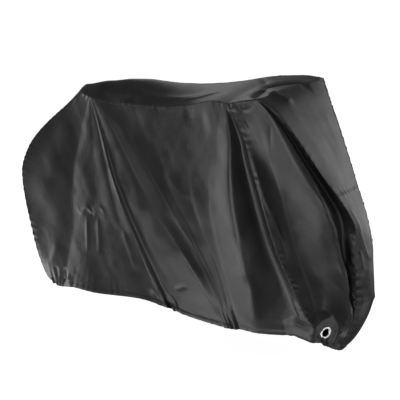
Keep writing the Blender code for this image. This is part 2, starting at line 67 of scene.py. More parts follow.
# ---- seams: where the pieces meet, each by its rows of x, out, z ----
REAR_SEAM = (           # saddle's back edge, down round the rear wheel
    (0.050, 0.050, 0.985), (-0.052, 0.045, 0.912), (-0.168, 0.045, 0.822), (-0.262, 0.045, 0.728),
    (-0.318, 0.045, 0.625), (-0.326, 0.045, 0.550), (-0.313, 0.045, 0.450), (-0.285, 0.045, 0.330),
    (-0.250, 0.045, 0.205), (-0.205, 0.042, 0.105), (-0.172, 0.040, 0.080),
)
TOP_SEAM = {            # saddle's back edge to the head of the slanting seam
    RIGHT: (
        (0.050, 0.050, 0.985), (0.140, 0.080, 0.969), (0.270, 0.100, 0.962), (0.430, 0.135, 0.974),
        (0.580, 0.170, 0.989), (0.700, 0.200, 1.009), (0.843, 0.250, 1.046), (0.940, 0.280, 1.050),
    ),
    LEFT: (
        (0.050, 0.050, 0.985), (0.140, 0.080, 0.975), (0.270, 0.110, 0.975), (0.430, 0.150, 0.990),
        (0.580, 0.190, 1.012), (0.700, 0.230, 1.044), (0.820, 0.270, 1.076), (0.900, 0.290, 1.084),
    ),
}
GRIP_SEAM = {           # head of the slanting seam to the end of the handlebar
    RIGHT: ((0.940, 0.280, 1.050), (1.010, 0.295, 1.068), (1.080, 0.305, 1.084)),
    LEFT: ((0.900, 0.290, 1.084), (0.960, 0.303, 1.087), (1.025, 0.312, 1.081)),
}
UPPER_SEAM = {          # end of the handlebar to the upper join
    RIGHT: (
        (1.080, 0.305, 1.084), (1.134, 0.270, 1.040), (1.205, 0.220, 0.926), (1.270, 0.178, 0.812),
        (1.324, 0.150, 0.733),
    ),
    LEFT: (
        (1.025, 0.312, 1.081), (1.088, 0.270, 0.983), (1.132, 0.240, 0.921), (1.218, 0.180, 0.790),
        (1.268, 0.150, 0.700),
    ),
}
FRONT_SEAM = {          # upper join to the lower join
    RIGHT: (
        (1.324, 0.150, 0.733), (1.365, 0.120, 0.657), (1.377, 0.090, 0.590), (1.373, 0.080, 0.510),
        (1.372, 0.070, 0.418), (1.375, 0.062, 0.310),
    ),
    LEFT: (
        (1.268, 0.150, 0.700), (1.306, 0.132, 0.632), (1.340, 0.112, 0.561), (1.366, 0.092, 0.490),
        (1.378, 0.075, 0.420), (1.385, 0.065, 0.310),
    ),
}
TOE_SEAM = {            # lower join, round under the front wheel, to the hem
    RIGHT: (
        (1.375, 0.062, 0.310), (1.369, 0.058, 0.260), (1.354, 0.053, 0.205), (1.332, 0.046, 0.142),
        (1.298, 0.038, 0.086),
    ),
    LEFT: (
        (1.385, 0.065, 0.310), (1.376, 0.060, 0.255), (1.360, 0.052, 0.200), (1.330, 0.045, 0.134),
        (1.292, 0.038, 0.082),
    ),
}
SLANT_SEAM = (          # between the seam above, near the handlebar's end, and the hem by the eyelet
    (1.013, 0.285, 0.928), (1.040, 0.285, 0.844), (1.070, 0.280, 0.747), (1.104, 0.260, 0.615),
    (1.140, 0.225, 0.468), (1.180, 0.190, 0.356), (1.222, 0.158, 0.242),
)
SLANT_BACK = {RIGHT: 0.0, LEFT: 0.030}  # how much further back it is on each side
HEM = (                 # rear seam to the slanting seam: x, out, z on the right, z on the left
    (-0.172, 0.040, 0.080, 0.080), (-0.100, 0.095, 0.078, 0.078), (0.030, 0.130, 0.108, 0.106),
    (0.194, 0.150, 0.123, 0.116), (0.440, 0.170, 0.161, 0.134), (0.570, 0.170, 0.153, 0.128),
    (0.656, 0.170, 0.136, 0.116), (0.865, 0.170, 0.134, 0.094), (1.063, 0.160, 0.140, 0.078),
    (1.200, 0.145, 0.150, 0.080), (1.270, 0.128, 0.140, 0.090),
)
REAR_HEM = {
    RIGHT: tuple((x, out, right) for x, out, right, _ in HEM),
    LEFT: tuple((x, out, left) for x, out, _, left in HEM),
}
FRONT_HEM = {           # midway from the slanting seam to the strip
    RIGHT: (1.291, 0.085, 0.108),
    LEFT: (1.291, 0.085, 0.084),
}

# ---- the centre strip's crown: how far its middle stands out past the line between its seams ----
# "along" counts the seams from the rear hem: 1 saddle, 2 slanting seam, 3 end of the handlebar,
# 4 upper join, 5 lower join, 6 front hem.
CROWN = (               # along, rise
    (0.00, 0.020), (0.30, 0.024), (0.60, 0.014), (0.88, 0.006), (1.00, 0.030), (1.10, 0.064),
    (1.25, 0.086), (1.38, 0.084), (1.60, 0.052), (1.85, 0.022), (2.00, 0.020), (3.00, 0.006),
    (3.50, 0.007), (4.00, 0.012), (4.50, 0.022), (5.00, 0.036), (6.00, 0.010),
)
GRIP_END, UPPER_JOIN, LOWER_JOIN = 2, 3, 4     # places in a list of the rows where the seams end
CROWN_SMOOTHING = 12    # how many times its rise is evened out along the strip

# ---- the main folds, which run down each side panel ----
# A line starts at "top", its share of the way along the seam above, and ends at "hem", its share
# of the way along the hem. It stands proud of the straight pull between the two, or sinks where
# that is negative, by its four heights on the way down. "crease" is 1 where the cloth turns
# sharply over it and 0 where it rolls over. It swings forward by "swing" at two places.
Line = namedtuple("Line", "top hem crease high upper lower low swing_upper swing_lower",
                  defaults=(0.0, 0.0))
HEIGHTS_AT = (0.0, 0.14, 0.40, 0.70, 1.0)      # how far down the seam and the four heights are
SWINGS_AT = (0.0, 0.40, 0.70, 1.0)             # how far down the seam, the two swings and the hem are
HEIGHTS = slice(Line._fields.index("high"), Line._fields.index("low") + 1)
SWINGS = slice(Line._fields.index("swing_upper"), None)


def fold_lines(*rows):
    """A panel's fold lines from their rows."""
    return tuple(Line(*row) for row in rows)


REAR_LINES = {
    RIGHT: fold_lines(
        (0.000, 0.000, 0.0, 0.000, 0.000, 0.000, 0.000),
        (0.010, 0.050, 0.3, 0.003, 0.009, -0.004, -0.015, 0.000, -0.020),
        (0.072, 0.085, 0.9, 0.000, 0.000, -0.016, -0.024, 0.024, 0.050),
        (0.082, 0.250, 0.3, 0.005, 0.013, -0.001, -0.007, 0.034, 0.034),
        (0.088, 0.445, 0.5, 0.009, 0.028, 0.018, 0.008, 0.014, 0.004),
        (0.094, 0.525, 0.8, 0.014, 0.042, 0.032, 0.012, -0.006, -0.010),
        (0.100, 0.555, 1.0, 0.008, 0.033, 0.018, -0.009, -0.010, -0.012),
        (0.130, 0.722, 0.9, 0.020, 0.060, 0.061, 0.020, 0.054, 0.062),
        (0.180, 0.744, 0.1, 0.012, 0.038, 0.033, 0.028, 0.114, 0.098),
        (0.350, 0.752, 0.0, 0.007, 0.027, 0.026, 0.024, 0.070, 0.066),
        (0.700, 0.760, 0.0, 0.004, 0.016, 0.015, 0.015, -0.040, 0.004),
        (0.955, 0.773, 0.5, 0.002, 0.005, 0.004, 0.002, -0.102, -0.050),
        (0.985, 0.820, 0.9, 0.012, 0.032, 0.026, 0.008, 0.005, 0.035),
        (0.993, 0.955, 0.3, -0.012, -0.034, -0.037, -0.014, -0.028, -0.020),
        (1.000, 1.000, 0.9, 0.000, 0.000, 0.000, 0.000),
    ),
    LEFT: fold_lines(
        (0.000, 0.000, 0.0, 0.000, 0.000, 0.000, 0.000),
        (0.010, 0.060, 0.3, 0.006, 0.014, 0.010, 0.004),
        (0.040, 0.130, 0.8, 0.012, 0.030, 0.024, 0.006, 0.015, 0.010),
        (0.055, 0.240, 0.2, -0.004, -0.012, -0.010, 0.000, 0.020, 0.020),
        (0.068, 0.350, 0.8, 0.010, 0.028, 0.026, 0.008, -0.010, 0.015),
        (0.078, 0.440, 0.3, -0.006, -0.018, -0.016, 0.000, -0.020, 0.010),
        (0.090, 0.520, 0.3, -0.002, 0.000, 0.006, 0.004, -0.010, 0.000),
        (0.120, 0.610, 0.9, 0.012, 0.034, 0.034, 0.008, 0.010, 0.030),
        (0.180, 0.650, 0.3, -0.006, -0.018, -0.014, 0.000, 0.030, 0.015),
        (0.400, 0.680, 0.0, 0.004, 0.006, 0.004, 0.002, 0.020, 0.000),
        (0.720, 0.715, 0.0, 0.002, 0.004, -0.004, 0.000, -0.030, -0.020),
        (0.930, 0.770, 0.5, 0.004, 0.008, 0.008, 0.006, -0.060, -0.030),
        (0.980, 0.850, 0.8, 0.016, 0.036, 0.030, 0.008, 0.010, 0.020),
        (0.992, 0.930, 0.3, -0.010, -0.030, -0.030, -0.008, -0.015, -0.010),
        (1.000, 1.000, 0.8, 0.000, 0.000, 0.000, 0.000),
    ),
}
FRONT_LINES = {
    RIGHT: fold_lines(
        (0.00, 0.00, 0.9, 0.000, 0.000, 0.000, 0.000),
        (0.60, 0.22, 0.2, -0.010, -0.032, -0.030, -0.006, -0.015, 0.010),
        (0.92, 0.55, 0.8, 0.018, 0.044, 0.014, 0.000, 0.082, 0.150),
        (0.96, 0.80, 0.3, -0.008, -0.018, -0.006, 0.000, 0.036, 0.050),
        (1.00, 1.00, 0.8, 0.000, 0.000, 0.000, 0.000),
    ),
    LEFT: fold_lines(
        (0.00, 0.00, 0.9, 0.000, 0.000, 0.000, 0.000),
        (0.50, 0.24, 0.2, -0.006, -0.020, -0.020, -0.006, 0.000, 0.010),
        (0.88, 0.52, 0.7, 0.010, 0.028, 0.012, 0.002, 0.045, 0.080),
        (0.94, 0.76, 0.3, -0.006, -0.016, -0.008, 0.000, 0.025, 0.040),
        (1.00, 1.00, 0.8, 0.000, 0.000, 0.000, 0.000),
    ),
}

# How soon the cloth leaves the shape of the seams at its two ends: the higher, the sooner.
REAR_PULL = (12.0, 3.0)
FRONT_PULL = (1.5, 1.3)

# ---- small creases, each by its route in a flat view, in the frame's own metres ----
# A row has the crease's height, the widths of its two slopes, left and right as seen along its
# route, and then the points of its route.
SIDE_CREASES = {        # routes of (x, z), seen from the right side
    RIGHT: (
        (-0.005, 0.010, 0.006, (0.09, 0.17), (0.12, 0.19), (0.16, 0.21)),
        (0.004, 0.020, 0.030, (-0.20, 0.40), (-0.15, 0.30), (-0.11, 0.20)),
        (0.004, 0.012, 0.012, (-0.42, 0.40), (-0.42, 0.31), (-0.42, 0.22)),
        (0.004, 0.010, 0.014, (-0.35, 0.41), (-0.345, 0.32), (-0.34, 0.23)),
        (0.004, 0.020, 0.008, (-0.51, 0.43), (-0.46, 0.40), (-0.42, 0.43), (-0.38, 0.42),
         (-0.33, 0.45), (-0.29, 0.41)),
        (-0.003, 0.006, 0.008, (-0.40, 0.45), (-0.38, 0.42), (-0.39, 0.39)),
        (0.004, 0.014, 0.020, (-0.73, 0.08), (-0.67, 0.15), (-0.63, 0.24)),
        (-0.009, 0.012, 0.010, (-0.59, 0.12), (-0.59, 0.04)),
        (0.007, 0.012, 0.012, (-0.555, 0.10), (-0.55, 0.03)),
        (-0.005, 0.014, 0.010, (-0.66, 0.11), (-0.64, 0.05)),
        (-0.005, 0.008, 0.012, (-0.04, 0.15), (0.02, 0.10)),
        (-0.005, 0.010, 0.008, (0.05, 0.14), (0.09, 0.09)),
        (0.004, 0.010, 0.010, (0.00, 0.16), (0.06, 0.10)),
        (0.006, 0.012, 0.060, (0.465, 0.53), (0.46, 0.47), (0.467, 0.38), (0.46, 0.26)),
        (0.006, 0.012, 0.010, (0.49, 0.84), (0.52, 0.75), (0.545, 0.66), (0.57, 0.59),
         (0.59, 0.52), (0.61, 0.44), (0.62, 0.38)),
        (0.008, 0.012, 0.014, (0.62, 0.26), (0.655, 0.18), (0.685, 0.11)),
        (0.005, 0.020, 0.020, (0.585, 0.15), (0.645, 0.09)),
        (-0.003, 0.012, 0.020, (0.725, 0.28), (0.72, 0.20), (0.72, 0.13)),
        (0.004, 0.006, 0.006, (0.46, 0.97), (0.50, 0.98), (0.52, 1.00)),
        (-0.004, 0.006, 0.006, (0.42, 0.96), (0.45, 0.95), (0.48, 0.93)),
        (0.004, 0.006, 0.008, (0.44, 0.955), (0.47, 0.93), (0.49, 0.89)),
        (0.003, 0.005, 0.008, (0.58, 0.93), (0.575, 0.86), (0.574, 0.80)),
        (0.002, 0.005, 0.008, (0.574, 0.65), (0.575, 0.58)),
        (0.003, 0.005, 0.005, (0.67, 0.80), (0.72, 0.71), (0.76, 0.64)),
        (-0.004, 0.010, 0.008, (0.78, 0.49), (0.82, 0.53), (0.81, 0.59)),
        (0.004, 0.008, 0.008, (0.79, 0.42), (0.82, 0.35), (0.825, 0.25)),
        (-0.003, 0.050, 0.030, (0.14, 0.905), (0.22, 0.91), (0.30, 0.915)),
        (-0.003, 0.040, 0.040, (0.00, 0.73), (0.05, 0.64)),
        (0.003, 0.050, 0.030, (0.05, 0.67), (0.13, 0.60), (0.27, 0.59)),
    ),
    LEFT: (
        (0.008, 0.014, 0.060, (0.10, 0.24), (0.20, 0.25), (0.30, 0.22), (0.36, 0.15)),
        (0.004, 0.020, 0.030, (-0.24, 0.42), (-0.19, 0.30), (-0.15, 0.19)),
        (0.004, 0.012, 0.014, (-0.46, 0.38), (-0.44, 0.28), (-0.44, 0.18)),
        (-0.004, 0.014, 0.010, (-0.38, 0.44), (-0.36, 0.34), (-0.37, 0.24)),
        (0.008, 0.018, 0.016, (-0.72, 0.09), (-0.66, 0.16), (-0.61, 0.25)),
        (-0.008, 0.012, 0.012, (-0.58, 0.12), (-0.585, 0.04)),
        (0.006, 0.012, 0.012, (-0.54, 0.10), (-0.535, 0.03)),
        (0.005, 0.010, 0.010, (-0.06, 0.15), (0.00, 0.09)),
        (-0.004, 0.010, 0.010, (0.02, 0.15), (0.06, 0.10)),
        (0.006, 0.012, 0.050, (0.44, 0.50), (0.435, 0.40), (0.44, 0.28)),
        (0.005, 0.012, 0.010, (0.45, 0.82), (0.49, 0.70), (0.53, 0.58), (0.56, 0.46)),
        (0.006, 0.014, 0.014, (0.62, 0.26), (0.65, 0.18), (0.68, 0.11)),
        (-0.003, 0.050, 0.030, (0.12, 0.90), (0.22, 0.91), (0.32, 0.93)),
        (0.003, 0.050, 0.040, (-0.02, 0.70), (0.08, 0.62), (0.22, 0.57)),
        (0.003, 0.006, 0.008, (0.70, 0.74), (0.74, 0.66), (0.77, 0.60)),
        (-0.004, 0.010, 0.010, (0.74, 0.50), (0.79, 0.45), (0.80, 0.36)),
    ),
}
CROWN_CREASES = (       # routes of (x, y), seen from above
    (-0.016, 0.012, 0.030, (0.54, -0.28), (0.48, -0.22), (0.45, -0.14), (0.45, -0.06)),
    (-0.018, 0.030, 0.014, (0.43, -0.10), (0.45, -0.01), (0.48, 0.07), (0.54, 0.14)),
    (0.010, 0.022, 0.020, (0.50, -0.20), (0.54, -0.17), (0.56, -0.13), (0.54, -0.08)),
    (-0.006, 0.010, 0.012, (0.55, -0.25), (0.555, -0.20), (0.56, -0.14)),
    (-0.006, 0.018, 0.012, (-0.40, -0.05), (-0.30, -0.07), (-0.20, -0.09), (-0.09, -0.13)),
    (0.005, 0.010, 0.012, (-0.38, -0.06), (-0.24, -0.09), (-0.12, -0.10)),
    (0.004, 0.018, 0.014, (-0.20, -0.05), (-0.07, -0.10), (0.10, -0.13), (0.25, -0.11)),
    (0.004, 0.012, 0.012, (-0.05, 0.05), (0.10, 0.06), (0.25, 0.04)),
    (0.005, 0.016, 0.016, (0.08, -0.14), (0.20, -0.15), (0.30, -0.12)),
    (-0.004, 0.016, 0.016, (0.30, 0.12), (0.36, 0.06), (0.40, -0.02)),
    (0.004, 0.012, 0.014, (-0.42, 0.04), (-0.28, 0.08), (-0.12, 0.11)),
)
FRONT_CREASES = (       # routes of (y, z), seen from the front
    (0.005, 0.008, 0.010, (-0.06, 0.45), (-0.03, 0.34)),
    (0.004, 0.008, 0.008, (-0.07, 0.53), (-0.04, 0.47), (0.00, 0.39)),
    (-0.004, 0.010, 0.010, (0.04, 0.52), (0.03, 0.43), (0.00, 0.34)),
    (0.003, 0.012, 0.012, (-0.11, 0.62), (-0.07, 0.55), (-0.05, 0.50)),
    (-0.001, 0.040, 0.030, (-0.02, 1.00), (0.00, 0.86), (0.02, 0.72)),
    (0.001, 0.040, 0.040, (-0.15, 0.98), (-0.11, 0.84), (-0.08, 0.70)),
    (0.002, 0.040, 0.040, (0.16, 0.96), (0.11, 0.82), (0.09, 0.70)),
)
CREASE_ROUND = 0.22     # how round a crease is on its top, as a share of its slope's width
CREASE_FALL = 1.6       # how soon its slopes run out
CREASE_FAR = 4          # how many times its slope's width it reaches
CREASE_STARTS = 0.25    # the share of its route over which it rises
CREASE_STOPS = 0.30     # and over which it fades
CROWN_ABOVE = 0.80      # the strip's crown creases are higher than this
MASK_WIDTH = 0.022      # creases and ripples fade out over this next to a seam
EDGE_FADE = 0.030       # and small folds fade over this where they meet something else

# ---- ripples all over the cloth ----
UNEVEN = ((0.16, 0.0010), (0.070, 0.0003), (0.030, 0.00005))    # their sizes and heights
STRIP_RIPPLES = 0.6     # how high the strip's are, as a share of the sides'
RIPPLE_WAVES = 20       # how many waves make up a ripple
RIPPLE_SIZES = (0.7, 1.6)           # their least and greatest size, as shares of the ripple's

# ---- puckers along the seams, and how far the elastic gathers the hem, by x along it ----
PUCKER_DEPTH = 0.0011
PUCKER_REACH = 0.016    # from the seam into the cloth
PUCKER_SIZE = 0.020     # from one pucker to the next, on average
PUCKER_FALL = 1.5       # how soon they run out there
PUCKER_WAVES = 14       # how many waves make up a row of them
PUCKER_SIZES = (0.6, 2.0)           # the waves' least and greatest size, as shares of one pucker's
PUCKER_ROW = 0.18                   # from where a row is deep to where it is deep again, about
PUCKER_ROW_WAVES = 8
PUCKERS_MEAN, PUCKERS_VARY = 0.65, 0.45     # how deep a row is, and how much that varies
PUCKERS_WITHIN = (0.1, 1.6)
SLANT_DEEPER = 1.5      # how many times as deep they are along the slanting seam
GATHERS = (             # x, depth
    (-0.72, 0.0030), (-0.62, 0.0036), (-0.50, 0.0010), (-0.12, 0.0010), (-0.04, 0.0032), (0.06, 0.0034),
    (0.16, 0.0010), (0.50, 0.0008), (0.66, 0.0026), (0.76, 0.0036),
)
GATHER_REACH = 0.050    # from the hem up the cloth
GATHER_FALL = 1.3       # how soon the gathers run out there
GATHER_SIZE = 0.024     # from one gather to the next, on average

# ---- the eyelet's flat place, on the right side ----
EYELET_AT = np.array((1.280, -0.112, 0.180))
EYELET_FACES = np.array((0.89, -0.43, -0.12))
CLOTH_HOLE = 0.0195     # radius of the hole cut in the cloth
FLAT_WITHIN = 0.060     # the cloth is flat this far from the eyelet's middle
FLAT_BEYOND = 0.086     # and back on its own shape this far from it
CALM_WITHIN = 0.033     # and has no creases or ripples this far from it

# ---- seeds of the random waves, each with the side, the size or the row added to it ----
SIDE_SEED, STRIP_SEED = 31, 41
LONG_SEED, JOIN_SEED, SLANT_SEED, GATHER_SEED = 50, 60, 70, 90

# ---- how fine the meshes are ----
CELL = 0.0058           # about how wide a cell of the side panels is
LEAST_CELLS = 6         # between two fold lines
FRONT_WIDTH = 0.36      # of a front side panel, halfway down
ROWS_UPPER = 48         # front seam, end of the handlebar to the upper join
ROWS_FRONT = 56         # upper join to the lower join
ROWS_TOE = 72           # lower join to the hem
ROWS = ROWS_UPPER + ROWS_FRONT + ROWS_TOE
STRIP_CELL = 0.0070     # along the centre strip
STRIP_ACROSS = 54       # cells across it
FINE = 24               # steps on a smooth curve between two rows of a table
ROUTE_STEPS = 80        # along a small crease
SOFTENED = 2            # how many times the main folds are rounded
SHARPEST = 70.0         # the bend, in turns of 1/m, that counts as a sharp crease
SHARP_ANGLE = math.radians(50)      # between two faces that aren't shaded as one
HEM_STEP = 0.004        # over which the cloth thickens to its hem
HOLE_DEPTH = 0.03       # length of the round tool that cuts the eyelet's hole
HOLE_SEGMENTS = 48

# ---- felled edges and stitches ----
FELLED = (              # the felled edge's outline: distance from the seam, and height on the cloth
    (-0.0006, -0.0006), (-0.0004, 0.0006), (0.0006, 0.0011), (0.0017, 0.0007), (0.0030, 0.0011),
    (0.0062, 0.0011), (0.0076, 0.0007), (0.0088, 0.0010), (0.0096, 0.0006), (0.0098, -0.0006),
)
STITCH_ROWS = (0.0017, 0.0076)      # from the seam
STITCH_HEIGHT = 0.00075             # on the cloth
HEM_ROW_INSIDE = 0.0015             # from the edge of the hem's channel to its row of stitches
HEM_ROW_HEIGHT = 0.8                # as a share of the hem's thickness
LEAST_STITCH = (0.88, 0.85, 0.85)   # a stitch's uneven length, width and height
MOST_STITCH = (1.06, 1.12, 1.12)
STITCH_SEED = 5
RUN_DEPTH = 12                      # lines of cloth in from a seam
Run = namedtuple("Run", "points ways")      # lines of points from a seam into the cloth, and ways out

# ---- finishes ----
WEAVE_HEIGHT = 0.00006
BROAD_WRINKLES = 0.00010            # how high they are
FINE_WRINKLES = 0.00004
SEAM_WRINKLES = 0.0003
RUBBING_MARKS = 0.00003
STRIP_PAINTED_LIGHT = 1.1                   # how many times as bright the strip's copy of the nylon is painted as the sides': painted light on the top strip
MATT = {"Roughness": 0.9, "Specular IOR Level": 0.1}
# Painted shade: the black of a card that darkens the eyelet's hole.
PAINTED_SHADE_BLACK = (0.006, 0.006, 0.006)
WHITE = (1, 1, 1, 1)


# ---- lines ----
def fine_line(rows):
    """A smooth curve through the rows, as many short steps."""
    knots = np.array(rows, float)
    before, after = 2 * knots[0] - knots[1], 2 * knots[-1] - knots[-2]
    padded = np.vstack((before, knots, after))
    t = np.linspace(0, 1, FINE, endpoint=False)[:, None]
    pieces = []
    for a, b, c, d in zip(padded, padded[1:], padded[2:], padded[3:]):
        straight = 2 * b + (c - a) * t
        bend = (2 * a - 5 * b + 4 * c - d) * t ** 2 + (3 * b - a - 3 * c + d) * t ** 3
        pieces.append((straight + bend) / 2)
    return np.vstack(pieces + [knots[-1:]])


def reach(points):
    """How far down a line of points, or down each column of a sheet, its points are."""
    steps = np.linalg.norm(np.diff(points, axis=0), axis=-1)
    return np.concatenate((np.zeros_like(steps[:1]), np.cumsum(steps, axis=0)))


def seam_length(rows):
    """The length of a smooth curve through the rows."""
    return reach(fine_line(rows))[-1]


def values_at(where, places, values):
    """Rows of values that are known at their places, at other places between them."""
    return np.stack([np.interp(where, places, column) for column in values.T], axis=-1)


def smooth_line(rows, shares):
    """Points on a smooth curve through the rows, at these shares of its length."""
    fine = fine_line(rows)
    length = reach(fine)
    return values_at(np.clip(shares, 0, 1) * length[-1], length, fine)


def evenly(cells):
    """Shares of a line's length, evenly spaced, one more than there are cells."""
    return np.linspace(0, 1, cells + 1)


def seam_line(rows, shares, side):
    """The seam's points, as x, y, z on one side of the bicycle."""
    line = smooth_line(rows, shares)
    line[..., 1] *= side
    return line


def join(*lines):
    """Lines that follow each other, with each shared point kept once."""
    return np.concatenate([lines[0]] + [line[1:] for line in lines[1:]])


def smooth_step(value):
    """0 up to 0, 1 from 1 on, with an even slope at both ends."""
    value = np.clip(value, 0, 1)
    return value * value * (3 - 2 * value)


def unit(vectors):
    """The vectors, each one unit long."""
    return vectors / (np.linalg.norm(vectors, axis=-1, keepdims=True) + 1e-12)


def wave_along(heading, size, draw):
    """A wave of this size along a heading, with its start drawn at random."""
    return np.sin(heading * 2 * math.pi / size + draw.uniform(0, 2 * math.pi))


def ripple(places, size, seed, count=RIPPLE_WAVES):
    """A smooth, uneven ripple over the places, mostly within -1 and 1, about size across."""
    draw = np.random.default_rng(seed)
    total = 0
    for _ in range(count):
        way = draw.uniform(0, 2 * math.pi)
        long = size * draw.uniform(*RIPPLE_SIZES)
        heading = places[..., 0] * math.cos(way) + places[..., 1] * math.sin(way)
        total = total + wave_along(heading, long, draw)
    return total / math.sqrt(count)


# ---- sheets ----
def between_lines(lines, top_length, hem_length):
    """One row for each column of the cloth, as in a Line, and its share of all the folds."""
    columns = []
    folds = len(lines) - 1
    for k, (first, second) in enumerate(zip(lines, lines[1:])):
        a, b = np.array(first), np.array(second)
        width = ((b - a)[0] * top_length + (b - a)[1] * hem_length) / 2
        cells = max(LEAST_CELLS, round(width / CELL))
        for s in evenly(cells)[:-1]:
            turn = s * s * (3 - 2 * s)
            turn += first.crease * s * (1 - s) ** 2 - second.crease * s * s * (1 - s)
            column = a + (b - a) * s
            column[HEIGHTS] = (a + (b - a) * turn)[HEIGHTS]
            columns.append(np.append(column, (k + s) / folds))
    columns.append(np.append(np.array(lines[-1]), 1.0))
    return np.array(columns)


def flow(values, places):
    """Values for each row and column, smooth on the way down through each column's own values."""
    v = evenly(ROWS)
    slopes = np.gradient(values, places, axis=1)
    result = np.zeros((len(v), len(values)))
    for k in range(len(places) - 1):
        span = places[k + 1] - places[k]
        inside = (v >= places[k]) & (v <= places[k + 1])
        s = ((v[inside] - places[k]) / span)[:, None]
        start, end = values[:, k], values[:, k + 1]
        leave, arrive = slopes[:, k] * span, slopes[:, k + 1] * span
        blend = (1 + 2 * s) * (1 - s) ** 2 * start + s * s * (3 - 2 * s) * end
        result[inside] = blend + s * (1 - s) ** 2 * leave - s * s * (1 - s) * arrive
    return result


def fold_heights(columns):
    """How far the folds lift the cloth, for each row and column."""
    seam = np.zeros((len(columns), 1))
    return flow(np.hstack((seam, columns[:, HEIGHTS])), HEIGHTS_AT)


def stretched(top, hem, first, last, columns, side, pull):
    """A sheet pulled straight from its seam to its hem, which keeps the shape of its two ends."""
    ends = np.zeros((len(columns), 1))
    swing = flow(np.hstack((ends, columns[:, SWINGS][:, :2], ends)), SWINGS_AT)
    shift = swing / np.linalg.norm(last - first, axis=1)[:, None]
    v = evenly(ROWS)[:, None, None]
    straight = (1 - v) * seam_line(top, columns[:, 0] + shift, side)
    straight += v * seam_line(hem, columns[:, 1] + shift, side)
    u = np.clip(columns[:, -1] + shift, 0, 1)[..., None]
    from_first = (first - straight[:, 0])[:, None] * (1 - u) ** pull[0]
    from_last = (last - straight[:, -1])[:, None] * u ** pull[1]
    return straight + from_first + from_last


def normals(sheet, outward):
    """Unit normals of a sheet of points, on the side of it that outward is on."""
    down, across = np.gradient(sheet, axis=(0, 1))
    normal = unit(np.cross(across, down))
    return normal * np.sign(np.sum(normal @ np.array(outward, float)))


def around(sheet):
    """The middle of each inner point's four neighbours."""
    return (sheet[:-2, 1:-1] + sheet[2:, 1:-1] + sheet[1:-1, :-2] + sheet[1:-1, 2:]) / 4


def softened(sheet, times):
    """The sheet with its creases rounded a little. Its edges stay where they are."""
    sheet = sheet.copy()
    for _ in range(times):
        sheet[1:-1, 1:-1] = (sheet[1:-1, 1:-1] + around(sheet)) / 2
    return sheet


def sharpness(sheet):
    """How sharply the cloth bends at each point, from 0 to 1."""
    wide = np.linalg.norm(sheet[1:-1, 2:] - sheet[1:-1, :-2], axis=2) / 2
    high = np.linalg.norm(sheet[2:, 1:-1] - sheet[:-2, 1:-1], axis=2) / 2
    off = np.linalg.norm(around(sheet) - sheet[1:-1, 1:-1], axis=2)
    return np.pad(np.clip(4 * off / np.maximum(wide, high) ** 2 / SHARPEST, 0, 1), 1)


def flattened(sheet):
    """The sheet with a flat place for the eyelet."""
    facing = unit(EYELET_FACES)
    offset = sheet - EYELET_AT
    off_plane = offset @ facing
    distance = np.linalg.norm(offset - off_plane[..., None] * facing, axis=-1)
    share = 1 - smooth_step((distance - FLAT_WITHIN) / (FLAT_BEYOND - FLAT_WITHIN))
    return sheet - (off_plane * share)[..., None] * facing


def rear_columns(side):
    """The columns of a rear side panel."""
    return between_lines(REAR_LINES[side], seam_length(TOP_SEAM[side]), seam_length(REAR_HEM[side]))


def front_columns(side):
    """The columns of a front side panel."""
    return between_lines(FRONT_LINES[side], FRONT_WIDTH, FRONT_WIDTH)


def side_sheet(side):
    """Both side panels of one side as one sheet, and the column where the slanting seam is."""
    rear, front = rear_columns(side), front_columns(side)
    slant = tuple((x - SLANT_BACK[side], out, z) for x, out, z in SLANT_SEAM)
    slant = GRIP_SEAM[side][:1] + slant + REAR_HEM[side][-1:]
    front_hem = (REAR_HEM[side][-1], FRONT_HEM[side], TOE_SEAM[side][-1])
    rear_line, slant_line = (seam_line(rows, evenly(ROWS), side) for rows in (REAR_SEAM, slant))
    front_rows = ((UPPER_SEAM, ROWS_UPPER), (FRONT_SEAM, ROWS_FRONT), (TOE_SEAM, ROWS_TOE))
    front_line = join(*[seam_line(seam[side], evenly(rows), side) for seam, rows in front_rows])
    rear_sheet = stretched(TOP_SEAM[side], REAR_HEM[side], rear_line, slant_line, rear, side, REAR_PULL)
    front_sheet = stretched(GRIP_SEAM[side], front_hem, slant_line, front_line, front, side, FRONT_PULL)
    sheet = np.hstack((rear_sheet, front_sheet[:, 1:]))
    lift = np.hstack((fold_heights(rear), fold_heights(front)[:, 1:]))
    sheet = sheet + normals(sheet, (0, side, 0)) * lift[..., None]
    if side == RIGHT:
        sheet = flattened(sheet)
    return sheet - ORIGIN, len(rear) - 1


def long_seams(side):
    """The six parts of one side's long seam, from the rear hem to the front hem."""
    return (REAR_SEAM[::-1], TOP_SEAM[side], GRIP_SEAM[side], UPPER_SEAM[side], FRONT_SEAM[side],
            TOE_SEAM[side])


def strip_shares():
    """The strip's rows, as shares along each part of its long seams."""
    return [evenly(round(seam_length(seam) / STRIP_CELL)) for seam in long_seams(RIGHT)]


def strip_steps():
    """The strip's rows again, counting the long seam's parts from the rear hem."""
    return join(*[k + share for k, share in enumerate(strip_shares())])


def side_steps(side):
    """The same count up a side's first column, along its top row and down its last column."""
    rear, front = rear_columns(side)[:, 0], front_columns(side)[1:, 0]
    last = join(3 + evenly(ROWS_UPPER), 4 + evenly(ROWS_FRONT), 5 + evenly(ROWS_TOE))
    return evenly(ROWS), np.concatenate((1 + rear, 2 + front)), last


def seam_metres(side, steps):
    """Metres along one side's long seam at these steps of the count."""
    ends = np.cumsum([0.0] + [seam_length(seam) for seam in long_seams(side)])
    return np.interp(steps, range(len(ends)), ends)


